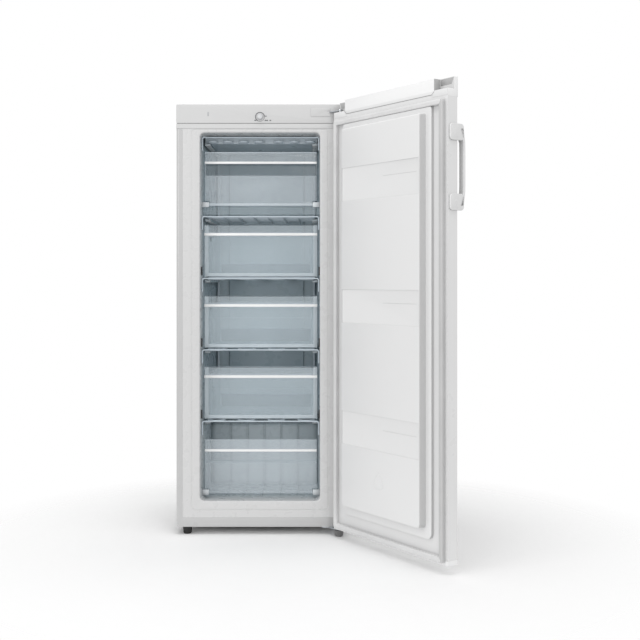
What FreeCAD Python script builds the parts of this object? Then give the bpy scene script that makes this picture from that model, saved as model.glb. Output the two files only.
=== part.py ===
"""An upright freezer with its door open, as an assembly of its separate pieces.

Frame: X to the right, Y from the cabinet's front plane to its back, Z up from the
floor, with the origin on the floor below the middle of the cabinet's front edge.
Lengths are in millimetres and angles in degrees. The door is built closed and then
swung about its hinge pins to the angle at which the freezer stands open.
"""
import FreeCAD, Part
import math
import os
import re
import Sketcher

SIZES = {
    # cabinet
    "cabinet_width": 553,
    "cabinet_top": 1420,
    "cabinet_depth": 523,
    "floor_gap": 26,
    "steel": 1,
    "side_flange": 21,
    "corner_radius": 10,
    "edge_radius": 4,
    "lower_rail_height": 31,
    "lower_rail_depth": 60,
    # control panel and lid
    "fascia_height": 64,
    "fascia_depth": 24,
    "moulding_wall": 2.5,
    "strip_height": 17,
    "lid_height": 28,
    "control_bay_depth": 75,
    "knob_drop": 42,
    "knob_diameter": 17,
    "knob_skirt_diameter": 21,
    "knob_skirt_height": 2,
    "knob_height": 9,
    "shaft_diameter": 6,
    "thermostat_width": 36,
    "thermostat_height": 30,
    "thermostat_depth": 28,
    "cover_plate_left": 168,
    "cover_plate_width": 64,
    "cover_plate_drop": 41,
    "cover_plate_height": 29,
    "cover_plate_proud": 1,
    "plug_offset": 171,
    "plug_drop": 39,
    "plug_width": 4,
    "plug_height": 13,
    # food cavity
    "side_insulation": 78.5,
    "opening_bottom": 111,
    "top_insulation": 94,
    "opening_radius": 16,
    "rear_insulation": 93,
    "side_draft": 13,
    "ceiling_draft": 4,
    "liner_wall": 2,
    "bead_inset": 51,
    "bead_width": 4,
    "bead_depth": 1,
    "hump_depth": 150,
    "hump_top": 327,
    "hump_radius": 15,
    "bay_insulation": 50,
    "rib_pitch": 60,
    "rib_width": 3,
    "rib_height": 3,
    "rib_start": 90,
    "ribs_each_side": 2,
    "back_pad_margin": 60,
    "back_pad_depth": 6,
    "ledge_width": 13,
    "ledge_height": 8,
    "ledge_front": 75,
    "ledge_margin": 35,
    "wall_gap": 0.2,
    "clip_gap": 1.3,
    "clip_thickness": 6.2,
    "clip_front": 22,
    "clip_depth": 18,
    "clip_drop": 45,
    "clip_round": 7,
    # cold shelves
    "tube_diameter": 8,
    "joint_bead": 0.3,
    "wire_diameter": 2,
    "wire_sink": 0.3,
    "wire_margin": 12.5,
    "shelf_wires": 10,
    "wire_start": 92,
    "shelf_legs": 8,
    "leg_margin": 21.25,
    "leg_front": 76,
    "turn_margin": 42,
    "braze_gap": 0.1,
    "bend_tilt": 30,
    "top_shelf_level": 1050,
    "ceiling_drop": 21,
    "ceiling_leg_gap": 15.5,
    "ceiling_legs_left": 8,
    "ceiling_legs_right": 6,
    "riser_margin": 18,
    "tube_clearance": 0.3,
    "riser_tail": 15,
    "trim_lift": 8,
    "trim_height": 26,
    "trim_front": 50,
    "trim_depth": 10,
    "trim_gap": 2,
    # drawers
    "drawer_pitch": 238,
    "drawer_floor": 374,
    "drawer_clearance": 0.3,
    "drawer_side_gap": 9,
    "drawer_height": 175,
    "drawer_front": 57,
    "drawer_front_depth": 12,
    "drawer_rib_width": 13,
    "drawer_rib_proud": 3,
    "grip_level": 138,
    "grip_height": 9,
    "grip_proud": 9,
    "hollow_height": 37,
    "hollow_depth": 6,
    "tub_inset": 12,
    "tub_draft": 7,
    "tub_height": 150,
    "tub_margin": 45,
    "tub_wall": 2,
    "tub_radius": 14,
    # tilting flaps
    "top_flap_lift": 42,
    "bottom_flap_pivot": 130,
    "pivot_depth": 55,
    "pivot_diameter": 6,
    "pivot_clearance": 0.06,
    "pivot_block": 16,
    "block_gap": 2,
    "pivot_pin_reach": 14,
    "pivot_gap": 1,
    "pivot_block_draft": 2,
    "flap_side_gap": 11,
    "flap_thickness": 4,
    "flap_height": 176,
    "flap_rise": 12.5,
    "flap_bar_level": 136,
    "flap_bar_height": 8,
    "flap_bar_proud": 8,
    "flap_root_diameter": 10,
    "flap_root_inset": 15,
    "flap_corner": 8,
    "flap_lip": 4,
    "flap_wall": 2.5,
    "flap_pocket_level": 99,
    "flap_pocket_depth": 33,
    "flap_pocket_round": 8,
    # door
    "door_open_angle": 125,
    "gasket_depth": 13,
    "gasket_gap": 0.3,
    "door_thickness": 38,
    "door_bottom": 28,
    "bottom_cap_height": 14,
    "bottom_cap_proud": 3,
    "top_cap_height": 57,
    "top_cap_proud": 2.5,
    "cap_recess_length": 60,
    "cap_recess_drop": 35,
    "cap_recess_depth": 23.5,
    "liner_top_drop": 46,
    "door_edge_radius": 6,
    "ledge_inset": 61,
    "ledge_rise": 10,
    "ledge_bottom": 90,
    "ledge_top_drop": 84,
    "ledge_radius": 20,
    "plateau_inset": 84,
    "plateau_rise": 33,
    "plateau_draft": 5,
    "plateau_bottom": 119,
    "plateau_top_drop": 103,
    "belt_inset": 16.5,
    "belt_depth": 2.5,
    "belt_bottom": 320,
    "belt_top": 426,
    "belt_pitch": 384.5,
    "gasket_inset": 12,
    "gasket_width": 15,
    "gasket_bottom": 36,
    "gasket_top_drop": 64,
    "gasket_radius": 8,
    # door handle
    "handle_level": 1038,
    "handle_height": 248,
    "handle_pad_height": 48,
    "handle_pad_start": 3,
    "handle_pad_reach": 17,
    "handle_pad_proud": 7,
    "handle_reach": 23.5,
    "grip_bar_depth": 7.5,
    "grip_bar_width": 21.5,
    "handle_end": 8,
    "handle_cover_width": 26,
    "handle_cover_height": 36,
    "handle_cover_depth": 1.5,
    "handle_screw_seat": 2.5,
    "handle_radius": 10,
    "handle_screw_diameter": 5,
    "handle_screw_length": 24,
    "handle_screw_head": 9,
    "handle_screw_spacing": 24,
    # hinges
    "hinge_inset": 12,
    "hinge_reach": 30,
    "hinge_pin_diameter": 7,
    "pin_fit": 0.05,
    "pin_head_diameter": 11,
    "pin_head_height": 3,
    "pin_depth": 11,
    "bush_diameter": 12,
    "bush_depth": 12,
    "bush_flange_diameter": 16,
    "bush_flange": 1.5,
    "hinge_plate": 3,
    "hinge_arm_width": 12,
    "hinge_arm_angle": 133,
    "hinge_arm_length": 52,
    "hinge_slot_left": 221,
    "hinge_slot_width": 30,
    "hinge_plate_left": 190,
    "hinge_plate_right": 262,
    "hinge_plate_depth": 150,
    "bracket_left": 205,
    "bracket_right": 273.5,
    "bracket_back": 56,
    "bracket_ear": 9,
    "bracket_nose": 14.2,
    "bracket_shoulder": 19.4,
    "hinge_screw_diameter": 5,
    "hinge_screw_head": 9,
    "screw_head_height": 3,
    "hinge_screw_length": 14,
    "screw_fit": 0.1,
    "stop_size": 8,
    "stop_drop": 7,
    "stop_offset": 21.7,
    "stop_reach": 35,
    # feet
    "foot_top_diameter": 30,
    "foot_sole_diameter": 24,
    "left_foot_height": 25,
    "right_foot_height": 20,
    "stud_diameter": 8,
    "stud_fit": 0.05,
    "stud_length": 20,
    "left_foot_inset": 35,
    "left_foot_back": 22,
    "right_foot_inset": 16.5,
    "right_foot_front": 18,
    "rear_foot_inset": 41,
    "rear_foot_margin": 28,
    # compressor bay
    "tray_thickness": 1.5,
    "tray_flange": 18,
    "shroud_margin": 7.5,
    "compressor_left": 60,
    "compressor_margin": 95,
    "lower_can_diameter": 150,
    "lower_can_height": 86,
    "upper_can_diameter": 144,
    "upper_can_height": 68,
    "seam_diameter": 158,
    "seam_height": 4,
    "can_round": 34,
    "mount_width": 216,
    "mount_strip": 34,
    "mount_spacing": 96,
    "mount_bolt_spacing": 188,
    "grommet_diameter": 22,
    "grommet_height": 15,
    "bolt_diameter": 8,
    "bolt_head_diameter": 14,
    "relay_width": 40,
    "relay_depth": 56,
    "relay_height": 54,
    "relay_level": 70,
    "gland_offset": 180,
    "gland_level": 36,
    "gland_diameter": 12,
    "gland_bore": 7,
    "gland_length": 16,
    "pipe_diameter": 4.8,
    "capillary_diameter": 3,
    "pipe_bend": 16,
    "coil_pocket": 6,
    "coil_legs": 6,
    "coil_leg_pitch": 70,
    "coil_bottom": 320,
    "coil_top_drop": 140,
    "coil_tail": 200,
    "dryer_diameter": 18,
    "dryer_length": 105,
    "dryer_level": 75,
    "capillary_level": 235,
    "frame_pipe_depth": 13,
    "frame_pipe_drop": 5,
    "suction_level": 148,
}

# places that follow from the sizes above
PLACES = {
    "opening_width": "cabinet_width - 2 * side_insulation",
    "opening_top": "cabinet_top - top_insulation",
    "cavity_depth": "cabinet_depth - rear_insulation",
    "hump_front": "cavity_depth - hump_depth",
    "back_pad_width": "opening_width - 2 * back_pad_margin",
    "ledge_reach": "rear_half - ledge_width",
    "ledge_back": "cavity_depth - ledge_margin",
    "clip_outside": "opening_half - clip_gap",
    "clip_inside": "clip_outside - clip_thickness",
    "wire_pitch": "(leg_back - wire_margin - wire_start) / (shelf_wires - 1)",
    "leg_pitch": "2 * (opening_half - leg_margin) / (shelf_legs - 1)",
    "leg_back": "cavity_depth - turn_margin",
    "end_leg_back": "riser_back - tube_radius - braze_gap",
    "ceiling_level": "opening_top - ceiling_drop",
    "ceiling_leg_pitch": "(2 * end_leg - ceiling_leg_gap) / (ceiling_legs_left + ceiling_legs_right - 1)",
    "riser_back": "cavity_depth - riser_margin",
    "trim_bottom": "top_shelf_level + trim_lift",
    "trim_half": "opening_half - trim_gap",
    "drawer_width": "opening_width - 2 * drawer_side_gap",
    "tub_width": "drawer_width - 2 * tub_inset",
    "tub_back": "cavity_depth - tub_margin",
    "top_flap_pivot": "top_shelf_level + top_flap_lift",
    "flap_width": "opening_width - 2 * flap_side_gap",
    "flap_root_half": "flap_width / 2 - flap_root_inset",
    "knob_level": "cabinet_top - knob_drop",
    "cover_plate_level": "cabinet_top - cover_plate_drop",
    "plug_level": "cabinet_top - plug_drop",
    "cap_recess_level": "cabinet_top - cap_recess_drop",
    "liner_top_level": "cabinet_top - liner_top_drop",
    "ledge_top": "cabinet_top - ledge_top_drop",
    "plateau_half": "half_width - plateau_inset",
    "plateau_top": "cabinet_top - plateau_top_drop",
    "belt_half": "plateau_half - belt_inset",
    "gasket_top": "cabinet_top - gasket_top_drop",
    "compressor_back": "cabinet_depth - compressor_margin",
    "coil_top": "cabinet_top - coil_top_drop",
    "half_width": "cabinet_width / 2",
    "panel_inner": "half_width - steel",
    "flange_inner": "half_width - side_flange",
    "back_inner": "cabinet_depth - steel",
    "fascia_bottom": "cabinet_top - fascia_height",
    "strip_bottom": "fascia_bottom - strip_height",
    "deck_level": "cabinet_top - lid_height",
    "rail_top": "floor_gap + lower_rail_height",
    "opening_half": "opening_width / 2",
    "rear_half": "opening_half - side_draft",
    "draft_slope": "side_draft / cavity_depth",
    "bay_front": "hump_front + bay_insulation",
    "bay_top": "hump_top - bay_insulation",
    "tube_radius": "tube_diameter / 2",
    "tray_top": "floor_gap + tray_thickness",
    "end_leg": "leg_pitch * (shelf_legs - 1) / 2",
    "wire_level": "tube_radius + wire_diameter / 2 - wire_sink",
    "shelf_drop": "wire_level + wire_diameter / 2 + drawer_clearance",
    "lowest_shelf": "drawer_floor - shelf_drop",
    "tub_front": "drawer_front + drawer_front_depth",
    "door_inner": "-gasket_depth",
    "door_outer": "door_inner - door_thickness",
    "door_body_bottom": "door_bottom + bottom_cap_height",
    "door_body_top": "cabinet_top - top_cap_height",
    "hinge_x": "half_width - hinge_inset",
    "hinge_y": "-hinge_reach",
    "ledge_half": "half_width - ledge_inset",
    "gasket_half": "half_width - gasket_inset",
    "pin_radius": "hinge_pin_diameter / 2",
    "left_foot_x": "left_foot_inset - half_width",
    "right_foot_x": "half_width - right_foot_inset",
    "stud_radius": "stud_diameter / 2",
    "can_bottom": "tray_top + grommet_height + hinge_plate",
    "seam_level": "can_bottom + lower_can_height",
    "coil_x": "panel_inner - pipe_diameter / 2 - pin_fit",
    "frame_pipe_back": "compressor_back - (coil_legs - 1) * coil_leg_pitch",
    "frame_pipe_low": "coil_bottom - pipe_bend",
    "channel_half": "pipe_diameter / 2 + tube_clearance",
    "pad_top_level": "handle_level + handle_height - handle_pad_height",
    "handle_face": "door_outer - handle_reach",
    "pivot_block_x": "flap_root_half + block_gap",
    "pivot_pin_end": "pivot_block_x + pivot_pin_reach",
    "arm_end_x": "hinge_x + hinge_arm_length * cos(hinge_arm_angle)",
    "arm_end_y": "hinge_y + hinge_arm_length * sin(hinge_arm_angle)",
}

doc = FreeCAD.newDocument("upright_freezer")
sizes = doc.addObject("Spreadsheet::Sheet", "sizes")
places = doc.addObject("Spreadsheet::Sheet", "places")
WORD = re.compile(r"[a-z][a-z_]+")


def spelled(text):
    """An expression in which each size or place is named with its sheet."""

    def with_sheet(match):
        word = match.group()
        if word in SIZES:
            return "sizes." + word
        if word in PLACES:
            return "places." + word
        return word

    return WORD.sub(with_sheet, str(text))


def fill_sheet(sheet, cells):
    for row, (alias, content) in enumerate(cells.items(), 1):
        sheet.set(f"A{row}", alias)
        sheet.set(f"B{row}", content)
        sheet.setAlias(f"B{row}", alias)
    doc.recompute()


fill_sheet(sizes, {alias: str(number) for alias, number in SIZES.items()})
fill_sheet(places, {alias: "=" + spelled(text) for alias, text in PLACES.items()})


def number(text):
    """The value of an expression in the sizes and places."""
    return float(sizes.evalExpression(spelled(text)))


def point(x, y, z):
    return FreeCAD.Vector(number(x), number(y), number(z))


def bind(thing, settings):
    for name, text in settings.items():
        thing.setExpression(name, spelled(text))


def base_at(x, y, z):
    return {"Placement.Base.x": x, "Placement.Base.y": y, "Placement.Base.z": z}


# ---- shapes that the pieces are made of ----

TURNS = {
    "x": FreeCAD.Rotation(FreeCAD.Vector(0, 1, 0), 90),
    "y": FreeCAD.Rotation(FreeCAD.Vector(1, 0, 0), -90),
    "z": FreeCAD.Rotation(),
}


def block(x, y, z):
    """A box between two expressions along each axis."""
    box = doc.addObject("Part::Box", "block")
    bind(box, base_at(x[0], y[0], z[0]))
    for side, ends in (("Length", x), ("Width", y), ("Height", z)):
        bind(box, {side: f"({ends[1]}) - ({ends[0]})"})
    return box


def rod(axis, ends, centre, diameter):
    """A cylinder along an axis, between two expressions, centred on the other two."""
    cylinder = doc.addObject("Part::Cylinder", "rod")
    cylinder.Placement = FreeCAD.Placement(FreeCAD.Vector(), TURNS[axis])
    corner = dict(zip([a for a in "xyz" if a != axis], centre))
    corner[axis] = ends[0]
    bind(cylinder, base_at(corner["x"], corner["y"], corner["z"]))
    bind(cylinder, {"Radius": f"({diameter}) / 2", "Height": f"({ends[1]}) - ({ends[0]})"})
    return cylinder


def cone(ends, centre, low_diameter, high_diameter):
    """A cone along Z between two expressions."""
    solid = doc.addObject("Part::Cone", "cone")
    bind(solid, base_at(centre[0], centre[1], ends[0]))
    bind(solid, {"Radius1": f"({low_diameter}) / 2", "Radius2": f"({high_diameter}) / 2"})
    bind(solid, {"Height": f"({ends[1]}) - ({ends[0]})"})
    return solid


def box_edges(along, corners):
    """The names of a box's edges along an axis, all four or those at the given corners.

    A corner is a pair of 0 or 1 for the low or high side along each other axis.
    """
    names = []
    others = [i for i, axis in enumerate("xyz") if axis != along]
    for index, edge in enumerate(Part.makeBox(1, 1, 1).Edges, 1):
        middle = edge.CenterOfMass
        if abs(middle["xyz".index(along)] - 0.5) > 0.1:
            continue
        if corners is None or tuple(round(middle[i]) for i in others) in corners:
            names.append(f"Edge{index}")
    return names


def filleted(body, base, edges, radius):
    fillet = body.newObject("PartDesign::Fillet", "fillet")
    fillet.Base = (base, edges)
    bind(fillet, {"Radius": radius})
    body.Tip = fillet
    return body


def rounded(x, y, z, radius, along="z", corners=None):
    """A box with its edges along one axis rounded, or only those at some corners."""
    body = doc.addObject("PartDesign::Body", "rounded")
    box = body.newObject("PartDesign::AdditiveBox", "box")
    bind(box, base_at(x[0], y[0], z[0]))
    for side, ends in (("Length", x), ("Width", y), ("Height", z)):
        bind(box, {side: f"({ends[1]}) - ({ends[0]})"})
    doc.recompute()
    return filleted(body, box, box_edges(along, corners), radius)


def tapered(y, front, back, radius):
    """A block that narrows along Y, with its four long edges rounded.

    front and back are its (low x, high x, low z, high z) at the two ends.
    """
    body = doc.addObject("PartDesign::Body", "tapered")
    wedge = body.newObject("PartDesign::AdditiveWedge", "wedge")
    names = ("Xmin", "Xmax", "Zmin", "Zmax", "X2min", "X2max", "Z2min", "Z2max")
    bind(wedge, dict(zip(names, (*front, *back))))
    bind(wedge, {"Ymin": y[0], "Ymax": y[1]})
    doc.recompute()
    long_edges = [
        f"Edge{index}"
        for index, edge in enumerate(wedge.Shape.Edges, 1)
        if abs(edge.Vertexes[0].Y - edge.Vertexes[1].Y) > number(f"({y[1]}) - ({y[0]})") / 2
    ]
    return filleted(body, wedge, long_edges, radius)


def plate(outline, low, high):
    """A flat plate in plan between two levels, through the outline's (x, y) corners."""
    body = doc.addObject("PartDesign::Body", "plate")
    sketch = body.newObject("Sketcher::SketchObject", "outline")
    ground = next(f for f in body.Origin.OriginFeatures if f.Role == "XY_Plane")
    sketch.AttachmentSupport = [(ground, "")]
    sketch.MapMode = "FlatFace"
    bind(sketch, {"AttachmentOffset.Base.z": low})
    corners = [point(x, y, "0") for x, y in outline]
    count = len(corners)
    for index in range(count):
        sketch.addGeometry(Part.LineSegment(corners[index], corners[(index + 1) % count]), False)
    for index in range(count):
        sketch.addConstraint(Sketcher.Constraint("Coincident", index, 2, (index + 1) % count, 1))
    for index, corner in enumerate(corners):
        for kind, place, value in zip(("DistanceX", "DistanceY"), outline[index], corner):
            added = sketch.addConstraint(Sketcher.Constraint(kind, -1, 1, index, 1, value))
            sketch.renameConstraint(added, f"{kind}_{index}")
            bind(sketch, {f"Constraints.{kind}_{index}": place})
    pad = body.newObject("PartDesign::Pad", "pad")
    pad.Profile = sketch
    bind(pad, {"Length": f"({high}) - ({low})"})
    return body


def bend(radius, diameter, sweep, centre, turn):
    """Part of a ring of round tube about a centre, turned into its plane."""
    torus = doc.addObject("Part::Torus", "bend")
    torus.Placement = FreeCAD.Placement(FreeCAD.Vector(), turn)
    bind(torus, {"Radius1": radius, "Radius2": f"({diameter}) / 2", "Angle3": sweep})
    bind(torus, base_at(*centre))
    return torus


def fuse(*solids):
    joined = doc.addObject("Part::MultiFuse", "joined")
    joined.Shapes = list(solids)
    return joined


def cut(base, *tools):
    less = doc.addObject("Part::Cut", "less")
    less.Base = base
    less.Tool = tools[0] if len(tools) == 1 else fuse(*tools)
    return less


def together(*solids):
    """Separate solids that make one node."""
    group = doc.addObject("Part::Compound", "group")
    group.Links = list(solids)
    return group


def moved(solid, x="0", y="0", z="0"):
    group = together(solid)
    bind(group, base_at(x, y, z))
    return group


def mirrored(solid):
    """The same solid on the other side of the middle plane."""
    twin = doc.addObject("Part::Mirroring", "twin")
    twin.Source = solid
    twin.Normal = FreeCAD.Vector(1, 0, 0)
    return twin


def across(half):
    return (f"-({half})", half)


pieces = []


def keep(solid, label):
    solid.Label = label
    pieces.append(solid)
    return solid


# ---- cabinet shell ----


def side_panel():
    """The left side sheet, turned in at the front and at the back."""
    x = ("-half_width", "-flange_inner")
    front_corner = [(0, 0)]
    sheet = rounded(x, ("0", "cabinet_depth"), ("floor_gap", "deck_level"), "corner_radius",
                    corners=front_corner)
    inside = rounded(("-panel_inner", "-flange_inner + steel"), ("steel", "back_inner"),
                     ("floor_gap - steel", "deck_level + steel"), "corner_radius - steel",
                     corners=front_corner)
    under_strip = block(("-half_width - steel", "-flange_inner + steel"), ("-steel", "fascia_depth"),
                        ("strip_bottom", "deck_level + steel"))
    return cut(sheet, inside, under_strip)


left_panel = keep(side_panel(), "side_panel_left")
keep(mirrored(left_panel), "side_panel_right")

keep(block(across("flange_inner"), ("back_inner", "cabinet_depth"), ("bay_top - steel", "deck_level")),
     "back_panel")

both_corners = [(0, 0), (1, 0)]
strip = cut(
    rounded(across("half_width"), ("0", "fascia_depth"), ("strip_bottom", "fascia_bottom"),
            "corner_radius", corners=both_corners),
    rounded(across("panel_inner"), ("steel", "fascia_depth + steel"),
            ("strip_bottom + steel", "fascia_bottom - steel"), "corner_radius - steel",
            corners=both_corners),
)
keep(strip, "front_rail_top")

left_stud_hole = rod("z", ("0", "rail_top - 2 * steel"), ("left_foot_x", "left_foot_back"),
                     "stud_diameter + 2 * stud_fit")

hinge_corners = [("bracket_left + 12", "14"), ("bracket_left + 12", "44"), ("bracket_right - 27", "44")]
lower_screws = [
    fuse(
        rod("z", ("floor_gap - hinge_plate", "floor_gap - hinge_plate + hinge_screw_length"), (x, y),
            "hinge_screw_diameter"),
        rod("z", ("floor_gap - hinge_plate - screw_head_height", "floor_gap - hinge_plate"), (x, y),
            "hinge_screw_head"),
    )
    for x, y in hinge_corners
]
lower_screw_holes = [
    rod("z", ("0", "floor_gap + hinge_screw_length"), (x, y), "hinge_screw_diameter + 2 * screw_fit")
    for x, y in hinge_corners
]

bottom_rail = fuse(
    block(across("flange_inner"), ("0", "steel"), ("floor_gap", "rail_top")),
    block(across("flange_inner"), ("0", "lower_rail_depth"), ("floor_gap", "floor_gap + steel")),
    block(across("flange_inner"), ("lower_rail_depth - steel", "lower_rail_depth"),
          ("floor_gap", "rail_top")),
    rounded(across("panel_inner"), ("steel", "bay_front"), ("rail_top - steel", "rail_top"),
            "corner_radius", corners=both_corners),
)
keep(cut(bottom_rail, left_stud_hole, *lower_screw_holes), "bottom_rail")

upper_hinge_corners = [
    ("hinge_plate_left + 12", "control_bay_depth + 20"),
    ("hinge_plate_left + 12", "hinge_plate_depth - 15"),
    ("hinge_plate_right - 12", "hinge_plate_depth - 15"),
]
upper_screws = [
    fuse(
        rod("z", ("deck_level + hinge_plate - hinge_screw_length", "deck_level + hinge_plate"), (x, y),
            "hinge_screw_diameter"),
        rod("z", ("deck_level + hinge_plate", "deck_level + hinge_plate + screw_head_height"), (x, y),
            "hinge_screw_head"),
    )
    for x, y in upper_hinge_corners
]
upper_screw_holes = [
    rod("z", ("deck_level - hinge_screw_length", "deck_level + 2 * hinge_plate"), (x, y),
        "hinge_screw_diameter + 2 * screw_fit")
    for x, y in upper_hinge_corners
]

deck = fuse(
    block(across("panel_inner"), ("control_bay_depth", "back_inner"), ("deck_level - steel", "deck_level")),
    block(across("panel_inner"), ("control_bay_depth", "control_bay_depth + steel"),
          ("fascia_bottom", "deck_level")),
    block(across("panel_inner"), ("fascia_depth", "control_bay_depth + steel"),
          ("fascia_bottom", "fascia_bottom + steel")),
)
keep(cut(deck, *upper_screw_holes), "deck_panel")

# ---- liner of the food cavity ----


def cavity_block(margin, depth):
    """The cavity's drafted space, grown by a margin and as deep as asked."""
    low = f"opening_bottom - ({margin})"
    front = (*across(f"opening_half + ({margin})"), low, f"opening_top + ({margin})")
    back = (*across(f"rear_half + ({margin})"), low, f"opening_top - ceiling_draft + ({margin})")
    return tapered(("0", depth), front, back, f"opening_radius + ({margin})")


def hump(shrink):
    """The step over the compressor bay, seen from inside the cavity."""
    return rounded(across("half_width"), (f"hump_front + ({shrink})", "back_inner"),
                   ("0", f"hump_top - ({shrink})"), f"hump_radius - ({shrink})", along="x",
                   corners=[(0, 1)])


SHELF_LEVELS = {
    "evaporator_shelf_one": "top_shelf_level",
    "evaporator_shelf_two": "lowest_shelf + 2 * drawer_pitch",
    "evaporator_shelf_three": "lowest_shelf + drawer_pitch",
    "evaporator_shelf_four": "lowest_shelf",
}


def floor_ribs():
    """Upright ribs on the hump's face that run on along the cavity floor."""
    count = int(number("ribs_each_side"))
    ribs = []
    for index in range(-count, count + 1):
        x = (f"{index} * rib_pitch - rib_width / 2", f"{index} * rib_pitch + rib_width / 2")
        ribs.append(block(x, ("rib_start", "hump_front + hump_radius"), ("0", "opening_bottom + rib_height")))
        ribs.append(block(x, ("hump_front - rib_height", "hump_front + hump_radius"),
                          ("0", "hump_top - hump_radius")))
    return ribs


back_pad = rounded(across("back_pad_width / 2"), ("cavity_depth - back_pad_depth", "back_inner"),
                   ("opening_bottom", "opening_top - opening_radius"), "opening_radius", along="y")
proud = fuse(hump("0"), back_pad, *floor_ribs())
cavity_space = cut(cavity_block("0", "cavity_depth"), proud)
liner_outside = cut(cavity_block("liner_wall", "cavity_depth + liner_wall"), hump("liner_wall"))
riser_holes = [
    rod("z", ("bay_top - 2 * steel", "hump_top + steel"), (x, "riser_back"),
        "tube_diameter + 2 * tube_clearance")
    for x in ("end_leg", "-end_leg")
]


def bead():
    """The shallow groove pressed all round the liner's front flange."""
    half = "half_width - bead_inset"
    low = "rail_top + bead_inset / 2"
    high = "strip_bottom - steel"
    ring = rounded(across(half), ("-steel", "bead_depth"), (low, high), "opening_radius", along="y")
    core = rounded(across(f"{half} - bead_width"), ("-2 * steel", "2 * steel"),
                   (f"{low} + bead_width", f"{high} - bead_width"), "opening_radius", along="y")
    return cut(ring, core)


flange = block(across("flange_inner"), ("0", "liner_wall"), ("rail_top", "strip_bottom"))
keep(cut(fuse(flange, liner_outside), cavity_space, bead(), *riser_holes), "inner_liner")

# ---- supports on the cavity's side walls ----

all_levels = (*SHELF_LEVELS.values(), "ceiling_level")


def within_cavity(solid):
    """What lies inside the cavity's walls, with a small gap to them."""
    common = doc.addObject("Part::Common", "within_cavity")
    common.Base = solid
    common.Tool = cavity_block("-wall_gap", "cavity_depth")
    return common


def shelf_ledge(level):
    """A bar under the shelf's outer tube, drafted as the side wall is."""
    top = f"{level} - tube_radius"
    return block(("ledge_reach", "half_width"), ("ledge_front", "ledge_back"), (f"{top} - ledge_height", top))


left_ledges = [shelf_ledge(level) for level in all_levels]
ledges = within_cavity(fuse(*left_ledges, *[mirrored(ledge) for ledge in left_ledges]))

left_clips = [
    rounded(("-clip_outside", "-clip_inside"), ("clip_front", "clip_front + clip_depth"),
            (f"{level} - clip_drop", f"{level} + tube_radius"), "clip_round", along="x")
    for level in all_levels
]
keep(together(ledges, *left_clips, *[mirrored(clip) for clip in left_clips]), "shelf_supports")

# ---- foam between the liner and the sheets ----

foam_block = fuse(
    rounded(across("panel_inner"), ("liner_wall", "back_inner"), ("rail_top", "fascia_bottom"),
            "corner_radius", corners=both_corners),
    block(across("panel_inner"), ("control_bay_depth + steel", "back_inner"),
          ("fascia_bottom - steel", "deck_level - steel")),
)
bay_space = block(across("half_width"), ("bay_front", "cabinet_depth"), ("0", "bay_top"))
coil_pocket = block(
    ("panel_inner - coil_pocket", "half_width"),
    ("compressor_back - (coil_legs - 1) * coil_leg_pitch - 2 * pipe_bend", "compressor_back + pipe_bend"),
    ("bay_top - steel", "coil_top + coil_leg_pitch"),
)
rail_space = block(across("half_width"), ("0", "fascia_depth"), ("strip_bottom", "cabinet_top"))
foam = cut(foam_block, cavity_block("liner_wall", "cavity_depth + liner_wall"), bay_space, coil_pocket,
           mirrored(coil_pocket), rail_space)
under_hump = doc.addObject("Part::Common", "under_hump")
under_hump.Base = cut(cavity_block("liner_wall", "cavity_depth + liner_wall"), bay_space)
under_hump.Tool = hump("liner_wall")
frame_pipe_corners = [
    ("-coil_x", "frame_pipe_back", "frame_pipe_low"),
    ("-coil_x", "frame_pipe_depth", "frame_pipe_low"),
    ("-coil_x", "frame_pipe_depth", "strip_bottom - frame_pipe_drop"),
    ("coil_x", "frame_pipe_depth", "strip_bottom - frame_pipe_drop"),
    ("coil_x", "frame_pipe_depth", "frame_pipe_low"),
    ("coil_x", "frame_pipe_back", "frame_pipe_low"),
]
frame_pipe_channel = [
    block(("coil_x - channel_half", "half_width"), ("frame_pipe_depth - channel_half", "frame_pipe_back"),
          ("frame_pipe_low - channel_half", "frame_pipe_low + channel_half")),
    block(("coil_x - channel_half", "half_width"), ("frame_pipe_depth - channel_half", "frame_pipe_depth + channel_half"),
          ("frame_pipe_low - channel_half", "strip_bottom - frame_pipe_drop + channel_half")),
]
frame_pipe_channel += [mirrored(one) for one in frame_pipe_channel]
frame_pipe_channel.append(
    block(across("half_width"), ("frame_pipe_depth - channel_half", "frame_pipe_depth + channel_half"),
          ("strip_bottom - frame_pipe_drop - channel_half", "strip_bottom - frame_pipe_drop + channel_half")))
keep(cut(fuse(foam, under_hump), *riser_holes, *upper_screw_holes, *frame_pipe_channel), "foam_insulation")

# ---- control panel, lid and thermostat ----

hinge_slot = block(("hinge_slot_left", "hinge_slot_left + hinge_slot_width"), ("-steel", "moulding_wall + steel"),
                   ("deck_level - hinge_plate", "deck_level + 2 * hinge_plate"))
shaft_hole = rod("y", ("-steel", "moulding_wall + steel"), ("0", "knob_level"), "shaft_diameter + 2")
plug_hole = block(("-plug_offset - plug_width / 2", "-plug_offset + plug_width / 2"),
                  ("-steel", "moulding_wall + steel"), ("plug_level", "plug_level + plug_height"))
fascia_shell = cut(
    rounded(across("half_width"), ("0", "fascia_depth"), ("fascia_bottom", "cabinet_top"),
            "corner_radius", corners=both_corners),
    rounded(across("half_width - moulding_wall"), ("moulding_wall", "fascia_depth + steel"),
            ("fascia_bottom + moulding_wall", "cabinet_top - moulding_wall"),
            "corner_radius - moulding_wall", corners=both_corners),
    hinge_slot, shaft_hole, plug_hole,
)
keep(fascia_shell, "control_fascia")

plug_x = ("-plug_offset - plug_width / 2", "-plug_offset + plug_width / 2")
keep(block(plug_x, ("-steel / 2", "moulding_wall"), ("plug_level", "plug_level + plug_height")),
     "blanking_plug")

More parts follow.
